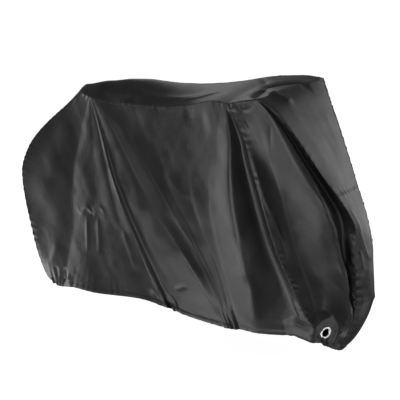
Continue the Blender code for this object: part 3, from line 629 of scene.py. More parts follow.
def strip_sheet():
    """The centre strip as one sheet, and the rows where its six seams end."""
    shares = strip_shares()
    right, left = (join(*[seam_line(seam, share, side) for seam, share in zip(long_seams(side), shares)])
                   for side in SIDES)
    out = np.cross(np.gradient((right + left) / 2, axis=0), left - right)
    out[:, 1] = 0
    rise = np.interp(strip_steps(), *zip(*CROWN))
    for _ in range(CROWN_SMOOTHING):
        rise[1:-1] = (rise[:-2] + rise[1:-1] * 2 + rise[2:]) / 4
    w = np.linspace(-1, 1, STRIP_ACROSS + 1)[None, :, None]
    flat = right[:, None] * (1 - w) / 2 + left[:, None] * (1 + w) / 2
    sheet = flat + (unit(out) * rise[:, None])[:, None] * (1 - w ** 2)
    return sheet - ORIGIN, np.cumsum([len(share) - 1 for share in shares])


# ---- small folds ----
def crease_lift(places, creases):
    """How far small creases lift the cloth at these places in a flat view."""
    flat = places.reshape(-1, 2)
    lift = np.zeros(len(flat))
    for height, left, right, *rows in creases:
        route = smooth_line(rows, evenly(ROUTE_STEPS))
        tangent = unit(np.gradient(route, axis=0))
        far = CREASE_FAR * max(left, right)
        close = np.all((flat > route.min(axis=0) - far) & (flat < route.max(axis=0) + far), axis=1)
        apart = flat[close][:, None] - route[None]
        nearest = np.argmin(np.sum(apart ** 2, axis=2), axis=1)
        offset = apart[np.arange(len(nearest)), nearest]
        heading = tangent[nearest]
        aside = heading[:, 0] * offset[:, 1] - heading[:, 1] * offset[:, 0]
        past = np.sum(offset * heading, axis=1)
        t = (nearest + past / np.linalg.norm(route[1] - route[0])) / ROUTE_STEPS
        ends = smooth_step(t / CREASE_STARTS) * smooth_step((1 - t) / CREASE_STOPS)
        width = np.where(aside > 0, left, right)
        rounded = np.hypot(aside / width, CREASE_ROUND) - CREASE_ROUND
        lift[close] += height * ends * np.exp(-CREASE_FALL * rounded)
    return lift.reshape(places.shape[:-1])


def edge_distances(sheet):
    """How far each point is from the sheet's top, hem, first and last column, along the cloth."""
    turned = sheet.swapaxes(0, 1)
    return reach(sheet), reach(sheet[::-1])[::-1], reach(turned).T, reach(turned[::-1])[::-1].T


def pucker_wave(metres, seed, size=PUCKER_SIZE):
    """An uneven row of puckers along a seam, which comes and goes."""
    draw = np.random.default_rng(seed)
    total = 0
    for _ in range(PUCKER_WAVES):
        total = total + wave_along(metres, size * draw.uniform(*PUCKER_SIZES), draw)
    places = np.stack((metres, np.zeros_like(metres)), axis=-1)
    comes = PUCKERS_MEAN + PUCKERS_VARY * ripple(places, PUCKER_ROW, seed + 1, PUCKER_ROW_WAVES)
    return total / math.sqrt(PUCKER_WAVES / 2) * np.clip(comes, *PUCKERS_WITHIN)


def puckers(wave, distance):
    """How far a row of puckers lifts the cloth, at its distance from their seam."""
    return PUCKER_DEPTH * wave * np.exp(-(distance / PUCKER_REACH) ** PUCKER_FALL)


def unevenness(places, seed):
    """Ripples of several sizes over the places."""
    return sum(ripple(places, size, seed + k) * height for k, (size, height) in enumerate(UNEVEN))


def with_small_folds(sheet, outward, side, split):
    """A side's sheet with its creases, its unevenness, its puckers and its gathered hem."""
    top, hem, first, last = edge_distances(sheet)
    slant = np.abs(first - first[:, split:split + 1])
    seam = np.minimum(np.minimum(top, slant), np.minimum(first, last))
    view = sheet[..., (0, 2)]
    lift = unevenness(view, SIDE_SEED + side) * smooth_step(hem / EDGE_FADE)
    lift = (lift + crease_lift(view, SIDE_CREASES[side])) * smooth_step(seam / MASK_WIDTH)
    if side == RIGHT:
        ring = np.linalg.norm(sheet + ORIGIN - EYELET_AT, axis=-1)
        lift *= smooth_step((ring - CALM_WITHIN) / EDGE_FADE)
    up, across, down = (pucker_wave(seam_metres(side, steps), LONG_SEED + side)
                        for steps in side_steps(side))
    slanting = pucker_wave(evenly(ROWS), SLANT_SEED + side) * SLANT_DEEPER
    lift += puckers(up[::-1, None], first) + puckers(down[:, None], last) + puckers(across, top)
    lift += puckers(slanting[:, None], slant)
    depth = np.interp(sheet[-1, :, 0], *zip(*GATHERS)) * smooth_step(seam[-1] / EDGE_FADE)
    gathers = depth * pucker_wave(first[-1], GATHER_SEED + side, GATHER_SIZE)
    lift += gathers * np.exp(-(hem / GATHER_REACH) ** GATHER_FALL)
    return sheet + outward * lift[..., None]


def with_strip_folds(sheet, outward, ends):
    """The centre strip with its creases, its unevenness and its puckers."""
    top, hem, first, last = edge_distances(sheet)
    edge = np.minimum(first, last)
    rows = np.arange(len(sheet))[:, None]
    crown = (rows < ends[UPPER_JOIN]) & (sheet[..., 2] > CROWN_ABOVE)
    lift = crease_lift(sheet[..., (0, 1)], CROWN_CREASES) * crown
    lift += crease_lift(sheet[..., (1, 2)], FRONT_CREASES) * (rows > ends[GRIP_END])
    lift += unevenness(np.stack((top, first), axis=-1), STRIP_SEED) * STRIP_RIPPLES
    lift *= smooth_step(edge / MASK_WIDTH) * smooth_step(np.minimum(top, hem) / MASK_WIDTH)
    for side, distance in ((RIGHT, first), (LEFT, last)):
        wave = pucker_wave(seam_metres(side, strip_steps()), LONG_SEED + side)
        lift += puckers(wave[:, None], distance)
    for row in (ends[UPPER_JOIN], ends[LOWER_JOIN]):
        wave = pucker_wave(first[row], JOIN_SEED + row) * smooth_step(edge / EDGE_FADE)
        lift += puckers(wave, np.abs(top - top[row]))
    return sheet + outward * lift[..., None]


def ways_out(sides, strip):
    """The way out of the cloth at each point, the same for both pieces along the long seams."""
    side_out = {side: normals(sheet, (0, side, 0)) for side, sheet in sides.items()}
    strip_out = normals(strip, (0, 0, 1))
    steps = strip_steps()
    for side, column in ((RIGHT, 0), (LEFT, -1)):
        out, edge = side_out[side], strip_out[:, column].copy()
        lines = tuple(zip((np.s_[::-1, 0], np.s_[0, :], np.s_[:, -1]), side_steps(side)))
        side_at = join(*[at for _, at in lines])
        side_ways = join(*[out[line] for line, _ in lines])
        strip_out[:, column] = unit(edge + values_at(steps, side_at, side_ways))
        for line, at in lines:
            out[line] = unit(out[line] + values_at(at, steps, edge))
    return side_out, strip_out


@lru_cache
def shaped_cover():
    """The finished sheets of both sides and of the strip, and the way out at each of their points."""
    sides, splits = {}, {}
    for side in SIDES:
        sheet, splits[side] = side_sheet(side)
        sides[side] = softened(sheet, SOFTENED)
    strip, ends = strip_sheet()
    side_out, strip_out = ways_out(sides, strip)
    for side in SIDES:
        sides[side] = with_small_folds(sides[side], side_out[side], side, splits[side])
    strip = with_strip_folds(strip, strip_out, ends)
    side_out, strip_out = ways_out(sides, strip)
    return sides, side_out, splits, strip, strip_out, ends

# ---- properties ----
def length_property(name, description, default):
    """A property in metres."""
    return bpy.props.FloatProperty(name=name, description=description, default=default, unit="LENGTH")


def colour_property(name, description, default):
    """A colour's property."""
    return bpy.props.FloatVectorProperty(name=name, description=description, default=default,
                                         subtype="COLOR", min=0, max=1)


def share_property(name, description, default):
    """A property from 0 to 1."""
    return bpy.props.FloatProperty(name=name, description=description, default=default,
                                   subtype="FACTOR", min=0, max=1)


class CoverCloth(bpy.types.PropertyGroup):
    """The coated nylon and how it is sewn."""
    thickness: length_property("Thickness", "Of the sheet of cloth", 0.0011)
    hem_thickness: length_property("Hem thickness", "Where the cloth is turned over the elastic", 0.0032)
    hem_width: length_property("Hem width", "Of the channel that holds the elastic", 0.018)
    colour: colour_property("Cloth colour", "Colour of the coated nylon", (0.0125, 0.0125, 0.0130))
    # The paler colour of sharp creases, handling patches and seam puckers: partly worn coating, partly
    # painted highlight.
    crease_wear_and_highlight_colour: colour_property(
        "Crease colour", "Colour of the coating where it is creased sharply", (0.050, 0.050, 0.051))
    roughness: share_property("Roughness", "Of the coating", 0.31)
    threads: bpy.props.FloatProperty(
        name="Threads", description="Of the weave, in a metre of cloth", default=1900.0)


class CoverStitches(bpy.types.PropertyGroup):
    """The thread along the seams and the hem."""
    pitch: length_property("Pitch", "From one stitch to the next", 0.0042)
    length: length_property("Length", "Of one stitch", 0.0031)
    width: length_property("Thread width", "Of the thread", 0.00062)
    colour: colour_property("Thread colour", "Colour of the thread", (0.020, 0.020, 0.021))


class CoverEyelet(bpy.types.PropertyGroup):
    """The metal ring near the front hem."""
    colour: colour_property("Metal colour", "Colour of the plating", (0.97, 0.97, 0.96))
    roughness: share_property("Roughness", "Of the plating", 0.24)


class CoverStudio(bpy.types.PropertyGroup):
    """The floor, the lights and the camera."""
    floor_grey: colour_property("Floor colour", "Colour of the studio floor", (0.90, 0.90, 0.90))
    ground: length_property("Ground", "Height of the floor under the bicycle's wheels", -0.064)
    world_grey: bpy.props.FloatProperty(
        name="Surroundings", description="Brightness of the studio's walls", default=0.14, min=0)


# ---- meshes ----
def add_object(name, data):
    """A new object in the scene."""
    made = bpy.data.objects.new(name, data)
    bpy.context.scene.collection.objects.link(made)
    return made


def add_piece(name, points, faces, material):
    """A new object of these points and faces, in one material."""
    mesh = bpy.data.meshes.new(name)
    mesh.from_pydata(points, [], faces)
    mesh.materials.append(material)
    return add_object(name, mesh)


def add_round(name, make, place, way, **sizes):
    """A new round object at a place, with its axis along a way."""
    turn = way.to_track_quat("Z", "Y").to_matrix().to_4x4()
    turn.translation = place
    shape = bmesh.new()
    make(shape, cap_ends=True, matrix=turn, **sizes)
    mesh = bpy.data.meshes.new(name)
    shape.to_mesh(mesh)
    shape.free()
    return add_object(name, mesh)


def finish_piece(piece, slot):
    """Shade a piece and say what it rides on."""
    piece.data.shade_smooth()
    piece.data.set_sharp_from_angle(angle=SHARP_ANGLE)
    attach(piece, "root")


def write_map(mesh, places):
    """Write the map along the cloth, in metres, from each point's place on it."""
    corners = np.zeros(len(mesh.loops), np.int32)
    mesh.loops.foreach_get("vertex_index", corners)
    layer = mesh.uv_layers.new(name="cloth")
    layer.data.foreach_set("uv", places[corners].ravel().astype(np.float32))


def add_panel(name, sheet, outward, thickness, material):
    """A panel of cloth: its sheet of points, a second one a thickness out, and a rim.

    Both faces get the same map along the cloth and the same sharpness.
    """
    inner = sheet.reshape(-1, 3)
    outer = (sheet + outward * thickness[..., None]).reshape(-1, 3)
    count = len(inner)
    index = np.arange(count).reshape(sheet.shape[:2])
    corners = (index[:-1, :-1], index[1:, :-1], index[1:, 1:], index[:-1, 1:])
    back = np.stack(corners, axis=-1).reshape(-1, 4)
    rim = np.concatenate((index[0], index[1:, -1], index[-1, -2::-1], index[-2:0:-1, 0]))
    after = np.roll(rim, -1)
    sides = np.stack((rim, after, after + count, rim + count), axis=1)
    faces = np.vstack((back, back[:, ::-1] + count, sides[:, ::-1]))
    middle = tuple(size // 2 for size in index.shape)
    down, across = (np.diff(sheet, axis=axis)[middle] for axis in (0, 1))
    if np.cross(down, across) @ outward[middle] > 0:
        faces = faces[:, ::-1]
    piece = add_piece(name, np.vstack((inner, outer)).tolist(), faces.tolist(), material)
    top, _, first, _ = edge_distances(sheet)
    write_map(piece.data, np.tile(np.stack((first, top), axis=-1).reshape(-1, 2), (2, 1)))
    # Sharpness, which the cloth's material paints paler: partly worn coating, partly painted highlight
    # along the creases.
    crease = piece.data.attributes.new("crease", "FLOAT", "POINT")
    crease.data.foreach_set("value", np.tile(sharpness(sheet).ravel(), 2).astype(np.float32))
    return piece


def cloth_thickness(cloth, *to_hems):
    """The cloth's thickness at each point, with the hem's channel along each of these distances."""
    steps = (smooth_step((cloth.hem_width - distance) / HEM_STEP + 0.5) for distance in to_hems)
    return cloth.thickness + (cloth.hem_thickness - cloth.thickness) * sum(steps)


def cut_round_hole(piece):
    """Cut the hole for the eyelet's tube through a panel."""
    cutter = add_round("eyelet_hole", bmesh.ops.create_cone, Vector(EYELET_AT - ORIGIN),
                       Vector(EYELET_FACES), segments=HOLE_SEGMENTS, radius1=CLOTH_HOLE, radius2=CLOTH_HOLE,
                       depth=HOLE_DEPTH)
    cut = piece.modifiers.new("Eyelet hole", "BOOLEAN")
    cut.operation = "DIFFERENCE"
    cut.solver = "EXACT"
    cut.object = cutter
    make_plain(piece)
    bpy.data.objects.remove(cutter, do_unlink=True)


def make_plain(piece):
    """Turn what a piece's modifiers make into its own plain mesh."""
    evaluated = piece.evaluated_get(bpy.context.evaluated_depsgraph_get())
    mesh = bpy.data.meshes.new_from_object(evaluated)
    piece.modifiers.clear()
    piece.data = mesh
    mesh.name = piece.name


# ---- seams ----
def run_in(sheet, outward, lines):
    """The run in from a seam, or from the hem, on the lines of cloth that the slice takes first."""
    return Run(sheet[lines][:RUN_DEPTH], outward[lines][:RUN_DEPTH])


def inset(lines, values, distance):
    """Values on the cloth this far in from the seam that its lines follow."""
    far = reach(lines)
    k = np.clip(np.sum(far <= distance, axis=0) - 1, 0, len(lines) - 2)
    n = np.arange(lines.shape[1])
    s = ((distance - far[k, n]) / (far[k + 1, n] - far[k, n] + 1e-9))[:, None]
    return values[k, n] * (1 - s) + values[k + 1, n] * s


def on_cloth(run, distance, height):
    """A line this far from a seam and this high over the inner face of the cloth."""
    way = unit(inset(run.points, run.ways, distance))
    return inset(run.points, run.points, distance) + way * height


def seam_runs():
    """Each seam's name, its run and the slot of its cloth."""
    sides, side_out, splits, strip, strip_out, ends = shaped_cover()
    for side, word in SIDES.items():
        # The strip's columns go from right to left, and each run goes in from its own side.
        across = (values.swapaxes(0, 1) for values in (strip, strip_out))
        yield "seam_long_" + word, run_in(*across, np.s_[::-side]), "strip_cloth"
        across = (values[side].swapaxes(0, 1) for values in (sides, side_out))
        yield "seam_slant_" + word, run_in(*across, np.s_[splits[side]::-1]), "side_cloth"
    for word, row in (("upper", ends[UPPER_JOIN]), ("lower", ends[LOWER_JOIN])):
        yield "seam_join_" + word, run_in(strip, strip_out, np.s_[row:]), "strip_cloth"


def hem_runs():
    """The lines of cloth from the hem up: both sides, and the strip's two ends."""
    sides, side_out, _, strip, strip_out, _ = shaped_cover()
    for side in SIDES:
        yield run_in(sides[side], side_out[side], np.s_[::-1])
    for lines in (np.s_[:], np.s_[::-1]):
        yield run_in(strip, strip_out, lines)


def add_felled_seam(name, run, material, slot, thickness):
    """The folded edge that is sewn down along a seam: a closed band that lies on the cloth."""
    rings = np.stack([on_cloth(run, d, thickness + h) for d, h in FELLED], axis=1)
    index = np.arange(rings[..., 0].size).reshape(rings.shape[:2])
    after = np.roll(index, -1, axis=1)
    faces = np.stack((index[:-1], index[1:], after[1:], after[:-1]), axis=-1).reshape(-1, 4).tolist()
    faces += [index[0].tolist(), index[-1, ::-1].tolist()]
    piece = add_piece(name, rings.reshape(-1, 3).tolist(), faces, material)
    shape = bmesh.new()
    shape.from_mesh(piece.data)
    bmesh.ops.recalc_face_normals(shape, faces=shape.faces)
    shape.to_mesh(piece.data)
    shape.free()
    places = np.broadcast_arrays([d for d, _ in FELLED], reach(rings[:, 0])[:, None])
    write_map(piece.data, np.stack(places, axis=-1).reshape(-1, 2))
    finish_piece(piece, slot)


# ---- nodes ----
def add_node(tree, kind, inputs=(), **settings):
    """Add a node with these settings and inputs, and give its outputs."""
    node = tree.nodes.new(kind)
    for name, value in settings.items():
        setattr(node, name, value)
    set_inputs(node, inputs)
    return node.outputs


def set_inputs(node, inputs):
    """Set a node's inputs, to values or from the outputs of other nodes."""
    for name, value in dict(inputs).items():
        if isinstance(value, bpy.types.NodeSocket):
            node.id_data.links.new(value, node.inputs[name])
        else:
            node.inputs[name].default_value = value


def new_group(name, kind, given, floats, made):
    """A node group with a given input, float inputs after it and named outputs, and its inputs."""
    tree = bpy.data.node_groups.new(name, kind)
    add_socket = tree.interface.new_socket
    add_socket(given, in_out="INPUT", socket_type="NodeSocket" + given)
    for socket, value in floats.items():
        add_socket(socket, in_out="INPUT", socket_type="NodeSocketFloat").default_value = value
    for socket, socket_type in made.items():
        add_socket(socket, in_out="OUTPUT", socket_type="NodeSocket" + socket_type)
    return tree, add_node(tree, "NodeGroupInput")


def math_node(tree, operation, *values):
    """The result of a Math node on these values or outputs."""
    return add_node(tree, "ShaderNodeMath", enumerate(values), operation=operation)[0]


def stitch_nodes(stitches, material):
    """Geometry nodes that set stitches along lines."""
    sizes = {name: getattr(stitches, name.lower()) for name in ("Pitch", "Length", "Width")}
    tree, given = new_group("Stitches along lines", "GeometryNodeTree", "Geometry", sizes,
                            {"Geometry": "Geometry"})
    curve = add_node(tree, "GeometryNodeMeshToCurve", {"Mesh": given["Geometry"]})
    spaced = add_node(tree, "GeometryNodeResampleCurve",
                      {"Curve": curve["Curve"], "Length": given["Pitch"]}, mode="LENGTH")
    bead = add_node(tree, "GeometryNodeMeshIcoSphere", {"Radius": 0.5, "Subdivisions": 1})
    size = add_node(tree, "ShaderNodeCombineXYZ",
                    {"X": given["Length"], "Y": given["Width"], "Z": given["Width"]})
    shaped = add_node(tree, "GeometryNodeTransform", {"Geometry": bead["Mesh"], "Scale": size["Vector"]})
    tangent = add_node(tree, "GeometryNodeInputTangent")
    turned = add_node(tree, "FunctionNodeAlignRotationToVector", {"Vector": tangent["Tangent"]}, axis="X")
    uneven = add_node(tree, "FunctionNodeRandomValue",
                      {"Min": LEAST_STITCH, "Max": MOST_STITCH, "Seed": STITCH_SEED},
                      data_type="FLOAT_VECTOR")
    placed = add_node(tree, "GeometryNodeInstanceOnPoints",
                      {"Points": spaced["Curve"], "Instance": shaped["Geometry"],
                       "Rotation": turned["Rotation"], "Scale": uneven["Value"]})
    real = add_node(tree, "GeometryNodeRealizeInstances", {"Geometry": placed["Instances"]})
    finished = add_node(tree, "GeometryNodeSetMaterial",
                        {"Geometry": real["Geometry"], "Material": material})
    add_node(tree, "NodeGroupOutput", {"Geometry": finished["Geometry"]})
    return tree


# ---- materials ----
@lru_cache
def weave_group():
    """Plain weave: threads over and under each other, as a height."""
    tree, given = new_group("Plain weave", "ShaderNodeTree", "Vector", {"Threads": 1900.0},
                            {"Height": "Float"})
    split = add_node(tree, "ShaderNodeSeparateXYZ", {"Vector": given["Vector"]})
    pace = math_node(tree, "MULTIPLY", given["Threads"], math.pi)
    crossing = [math_node(tree, "SINE", math_node(tree, "MULTIPLY", split[axis], pace)) for axis in "XY"]
    height = math_node(tree, "ABSOLUTE", math_node(tree, "MULTIPLY", *crossing))
    add_node(tree, "NodeGroupOutput", {"Height": height})
    return tree


@lru_cache
def wrinkle_group():
    """Fine wrinkles of handled cloth as a height, and broad soft patches as a mask."""
    tree, given = new_group("Fine wrinkles", "ShaderNodeTree", "Vector", {"Scale": 40.0, "Detail": 3.0},
                            {"Height": "Float", "Mask": "Float"})
    bent = add_node(tree, "ShaderNodeTexNoise", {"Vector": given["Vector"], "Scale": 9.0})
    moved = add_node(tree, "ShaderNodeMixRGB",
                     {"Fac": 0.035, "Color1": given["Vector"], "Color2": bent["Color"]},
                     blend_type="LINEAR_LIGHT")
    noise = add_node(tree, "ShaderNodeTexNoise", {"Vector": moved["Color"], "Scale": given["Scale"],
                                                  "Detail": given["Detail"]})
    offset = math_node(tree, "ABSOLUTE", math_node(tree, "SUBTRACT", noise["Fac"], 0.5))
    ridge = math_node(tree, "SUBTRACT", 1.0, math_node(tree, "MULTIPLY", offset, 4.0))
    height = math_node(tree, "MAXIMUM", ridge, 0.0)
    add_node(tree, "NodeGroupOutput", {"Height": height, "Mask": bent["Fac"]})
    return tree


def wrinkles(tree, scale, detail):
    """Fine wrinkles in a material."""
    places = add_node(tree, "ShaderNodeTexCoord")["Object"]
    return add_node(tree, "ShaderNodeGroup", {"Vector": places, "Scale": scale, "Detail": detail},
                    node_tree=wrinkle_group())


def weave(tree, cloth):
    """The height of the weave in a material."""
    places = add_node(tree, "ShaderNodeUVMap", uv_map="cloth")["UV"]
    return add_node(tree, "ShaderNodeGroup", {"Vector": places, "Threads": cloth.threads},
                    node_tree=weave_group())["Height"]


def bump(tree, *heights):
    """A normal from heights, each given with the metres that it stands for."""
    total = 0.0
    for height, metres in heights:
        total = math_node(tree, "MULTIPLY_ADD", height, metres, total)
    return add_node(tree, "ShaderNodeBump", {"Height": total, "Strength": 1.0, "Distance": 1.0})["Normal"]


def remap(tree, value, given, made):
    """A value moved from a given range to another, and kept within it."""
    ranges = dict(zip(("From Min", "From Max", "To Min", "To Max"), (*given, *made)))
    return add_node(tree, "ShaderNodeMapRange", {"Value": value, **ranges})["Result"]


def mixed(tree, factor, first, second):
    """A mix of two colours, each given as a colour and how many times as bright to make it."""
    a, b = ((*[value * times for value in tint], 1) for tint, times in (first, second))
    return add_node(tree, "ShaderNodeMix", {"Factor": factor, "A": a, "B": b}, data_type="RGBA")["Result"]


def new_material(name):
    """A material, its node tree and its Principled shader."""
    material = bpy.data.materials.new(name)
    material.use_nodes = True
    return material, material.node_tree, material.node_tree.nodes["Principled BSDF"]


def cloth_material(name, cloth, shade):
    """Black coated nylon: a low sheen, a faint weave, fine wrinkles, paler handling patches, and sharp
    creases painted paler as worn coating and painted highlight.
    """
    material, tree, shader = new_material(name)
    broad = wrinkles(tree, scale=17.0, detail=2.0)
    fine = wrinkles(tree, scale=46.0, detail=3.0)
    crease = add_node(tree, "ShaderNodeAttribute", attribute_name="crease")["Fac"]
    handled = remap(tree, broad["Mask"], (0.35, 0.75), (0.0, 0.22))
    # Sharp creases painted paler, partly worn coating and partly painted highlight, together with paler
    # handling patches.
    wear_and_highlight = math_node(tree, "MAXIMUM", math_node(tree, "MULTIPLY", crease, 0.8), handled)
    rough = cloth.roughness
    # A shade above 1 paints the whole copy of the nylon brighter: painted light on the strip.
    set_inputs(shader, {
        "Base Color": mixed(tree, wear_and_highlight, (cloth.colour, shade), (cloth.crease_wear_and_highlight_colour, shade)),
        "Roughness": remap(tree, broad["Mask"], (0.3, 0.7), (rough - 0.03, rough + 0.04)),
        "Normal": bump(tree, (weave(tree, cloth), WEAVE_HEIGHT), (broad["Height"], BROAD_WRINKLES),
                       (fine["Height"], FINE_WRINKLES)),
    })
    return material


def seam_material(cloth):
    """The same nylon doubled over: a low sheen, the weave and small puckers, whose tops are painted paler,
    partly as creased coating and partly as painted highlight.
    """
    material, tree, shader = new_material("seam_nylon")
    small = wrinkles(tree, scale=70.0, detail=2.0)
    # Tops of the small puckers painted paler: partly creased coating, partly painted highlight along the
    # seams.
    wear_and_highlight = remap(tree, small["Height"], (0.2, 1.0), (0.05, 0.6))
    set_inputs(shader, {
        "Base Color": mixed(tree, wear_and_highlight, (cloth.colour, 1), (cloth.crease_wear_and_highlight_colour, 1)),
        "Roughness": remap(tree, small["Mask"], (0.3, 0.7), (0.34, 0.44)),
        "Normal": bump(tree, (weave(tree, cloth), WEAVE_HEIGHT), (small["Height"], SEAM_WRINKLES)),
    })
    return material


def thread_material(stitches):
    """Twisted black thread."""
    material, tree, shader = new_material("sewing_thread")
    places = add_node(tree, "ShaderNodeTexCoord")["Object"]
    twist = add_node(tree, "ShaderNodeTexWave", {"Vector": places, "Scale": 900.0},
                     bands_direction="DIAGONAL")
    tints = (stitches.colour, 0.6), (stitches.colour, 1.5)
    set_inputs(shader, {"Base Color": mixed(tree, twist["Fac"], *tints), "Roughness": 0.55})
    return material


def metal_material(eyelet):
    """Bright plated metal with faint rubbing marks."""
    material, tree, shader = new_material("plated_metal")
    marks = wrinkles(tree, scale=420.0, detail=4.0)["Height"]
    rough = eyelet.roughness
    rubbed = remap(tree, marks, (0.6, 1.0), (0.0, 0.5))
    set_inputs(shader, {
        "Base Color": mixed(tree, rubbed, (eyelet.colour, 1), (eyelet.colour, 0.72)),
        "Roughness": remap(tree, marks, (0.2, 1.0), (rough - 0.06, rough + 0.16)),
        "Metallic": 1.0,
        "Normal": bump(tree, (marks, RUBBING_MARKS)),
    })
    return material


def painted_shade_card_material():
    """Matt black card: painted shade seen through the eyelet's hole."""
    material, _, shader = new_material("painted_shade_card")
    set_inputs(shader, {"Base Color": (*PAINTED_SHADE_BLACK, 1), **MATT})
    return material


def only_to_camera(tree, output, seen, other):
    """Show one shader to the camera, and another to the light."""
    path = add_node(tree, "ShaderNodeLightPath")
    mix = add_node(tree, "ShaderNodeMixShader", {0: path["Is Camera Ray"], 1: other[0], 2: seen[0]})
    set_inputs(tree.nodes[output], {"Surface": mix[0]})


def floor_material(studio):
    """A plain pale floor, which only the camera sees, so that it doesn't fill the folds with light."""
    material, tree, shader = new_material("floor")
    set_inputs(shader, {"Base Color": (*studio.floor_grey, 1), **MATT,
                        "Emission Strength": FLOOR_GLOW, "Emission Color": WHITE})
    clear = add_node(tree, "ShaderNodeBsdfTransparent")
    only_to_camera(tree, "Material Output", shader.outputs, clear)
    return material


# ---- operators ----
class OBJECT_OT_cover_sides(bpy.types.Operator):
    """Make the four side panels"""
    bl_idname = "object.cover_sides"
    bl_label = "Side panels"

    def execute(self, context):
        cloth = context.scene.cover_cloth
        material = cloth_material("side_nylon", cloth, 1.0)
        sides, side_out, splits, _, _, _ = shaped_cover()
        for side, word in SIDES.items():
            split = splits[side]
            thickness = cloth_thickness(cloth, edge_distances(sides[side])[1])
            for name, part in (("side_rear_", np.s_[:, :split + 1]), ("side_front_", np.s_[:, split:])):
                panel = add_panel("cloth_" + name + word, sides[side][part], side_out[side][part],
                                  thickness[part], material)
                if name + word == "side_front_right":
                    cut_round_hole(panel)
                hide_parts(name + word)
                finish_piece(panel, "side_cloth")
        return {"FINISHED"}


class OBJECT_OT_cover_strip(bpy.types.Operator):
    """Make the centre strip in its three lengths"""
    bl_idname = "object.cover_strip"
    bl_label = "Centre strip"

    def execute(self, context):
        cloth = context.scene.cover_cloth
        material = cloth_material("strip_nylon", cloth, STRIP_PAINTED_LIGHT)
        _, _, _, sheet, outward, ends = shaped_cover()
        thickness = cloth_thickness(cloth, *edge_distances(sheet)[:2])
        upper, lower = ends[UPPER_JOIN], ends[LOWER_JOIN]
        lengths = {
            "strip_crown": np.s_[:upper + 1],
            "strip_front": np.s_[upper:lower + 1],
            "strip_toe": np.s_[lower:],
        }
        for name, part in lengths.items():
            panel = add_panel("cloth_" + name, sheet[part], outward[part], thickness[part], material)
            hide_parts(name)
            finish_piece(panel, "strip_cloth")
        return {"FINISHED"}


class OBJECT_OT_cover_seams(bpy.types.Operator):
    """Make the folded edges that are sewn down along the seams"""
    bl_idname = "object.cover_seams"
    bl_label = "Felled seams"

    def execute(self, context):
        cloth = context.scene.cover_cloth
        material = seam_material(cloth)
        for name, run, slot in seam_runs():
            add_felled_seam(name, run, material, slot, cloth.thickness)
        return {"FINISHED"}


class OBJECT_OT_cover_stitches(bpy.types.Operator):
    """Set the stitches along the seams and the hem"""
    bl_idname = "object.cover_stitches"
    bl_label = "Stitches"

    def execute(self, context):
        cloth, stitches = context.scene.cover_cloth, context.scene.cover_stitches
        rows = [on_cloth(run, distance, cloth.thickness + STITCH_HEIGHT)
                for _, run, _ in seam_runs() for distance in STITCH_ROWS]
        at_hem = cloth.hem_width - HEM_ROW_INSIDE, cloth.hem_thickness * HEM_ROW_HEIGHT
        rows += [on_cloth(run, *at_hem) for run in hem_runs()]
        points, edges = [], []
        for row in rows:
            edges += [(len(points) + k, len(points) + k + 1) for k in range(len(row) - 1)]
            points += row.tolist()
        mesh = bpy.data.meshes.new("stitches")
        mesh.from_pydata(points, edges, [])
        piece = add_object("stitches", mesh)
        sewn = piece.modifiers.new("Stitches", "NODES")
        sewn.node_group = stitch_nodes(stitches, thread_material(stitches))
        for item in sewn.node_group.interface.items_tree:
            if item.in_out == "INPUT" and item.socket_type == "NodeSocketFloat":
                sewn[item.identifier] = getattr(stitches, item.name.lower())
        make_plain(piece)
        piece.data.shade_smooth()
        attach(piece, "root")
        return {"FINISHED"}


class OBJECT_OT_cover_eyelet(bpy.types.Operator):
    """Finish the eyelet in bright plated metal"""
    bl_idname = "object.cover_eyelet"
    bl_label = "Eyelet"

    def execute(self, context):
        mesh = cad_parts["eyelet"].data
        mesh.materials.clear()
        mesh.materials.append(metal_material(context.scene.cover_eyelet))
        return {"FINISHED"}


class OBJECT_OT_cover_studio(bpy.types.Operator):
    """Make the floor, a black card of painted shade behind the eyelet, the lights and the camera"""
    bl_idname = "object.cover_studio"
    bl_label = "Studio"

    def execute(self, context):
        studio = context.scene.cover_studio
        make_floor(studio)
        make_painted_shade_card()
        make_lights(studio)
        make_camera()
        return {"FINISHED"}


# ---- studio ----
CAMERA_AZIMUTH = 33.6       # degrees from straight across the bicycle's right side
CAMERA_ELEVATION = 15.2
CAMERA_DISTANCE = 4.04
CAMERA_TARGET = Vector((0.092, 0.0, 0.516))
CAMERA_LENS = 87.66         # mm
CAMERA_SENSOR = 36.0        # mm wide
FLOOR_GLOW = 0.92
FLOOR_HALF = 30.0
CARD_BEHIND = 0.055         # from the eyelet to a black card inside the cover, away from the camera
CARD_RADIUS = 0.026
CARD_SEGMENTS = 24
LAMPS = (                   # name, azimuth, elevation, distance, width, height, radiance
    ("rear_window", -89, -15, 4.0, 1.3, 4.6, 2.5),
    ("low_window", -37, -43, 4.0, 2.6, 1.6, 2.3),
    ("upper_window", -22, 22, 4.0, 2.6, 1.3, 1.1),
    ("near_window", -5, -16, 4.0, 1.8, 1.8, 4.0),
    ("nose_window", 46, -24, 4.0, 0.9, 1.2, 0.7),
    ("toe_window", 95, -30, 4.0, 2.0, 2.0, 1.25),
    ("front", 142, 2, 4.0, 5.6, 2.4, 0.95),
    ("behind", -142, 22, 4.0, 1.4, 1.4, 0.55),
    ("overhead", 20, 78, 3.4, 2.4, 2.4, 0.4),
)


def direction(azimuth, elevation):
    """The way from the cover to a camera or lamp. Azimuth 0 is straight out from its right side."""
    a, e = math.radians(azimuth), math.radians(elevation)
    return Vector((math.sin(a) * math.cos(e), -math.cos(a) * math.cos(e), math.sin(e)))


def add_facing(name, data, azimuth, elevation, distance):
    """A lamp or camera that faces the cover from this direction."""
    made = add_object(name, data)
    way = direction(azimuth, elevation)
    made.location = CAMERA_TARGET + way * distance
    made.rotation_euler = way.to_track_quat("Z", "Y").to_euler()
    return made


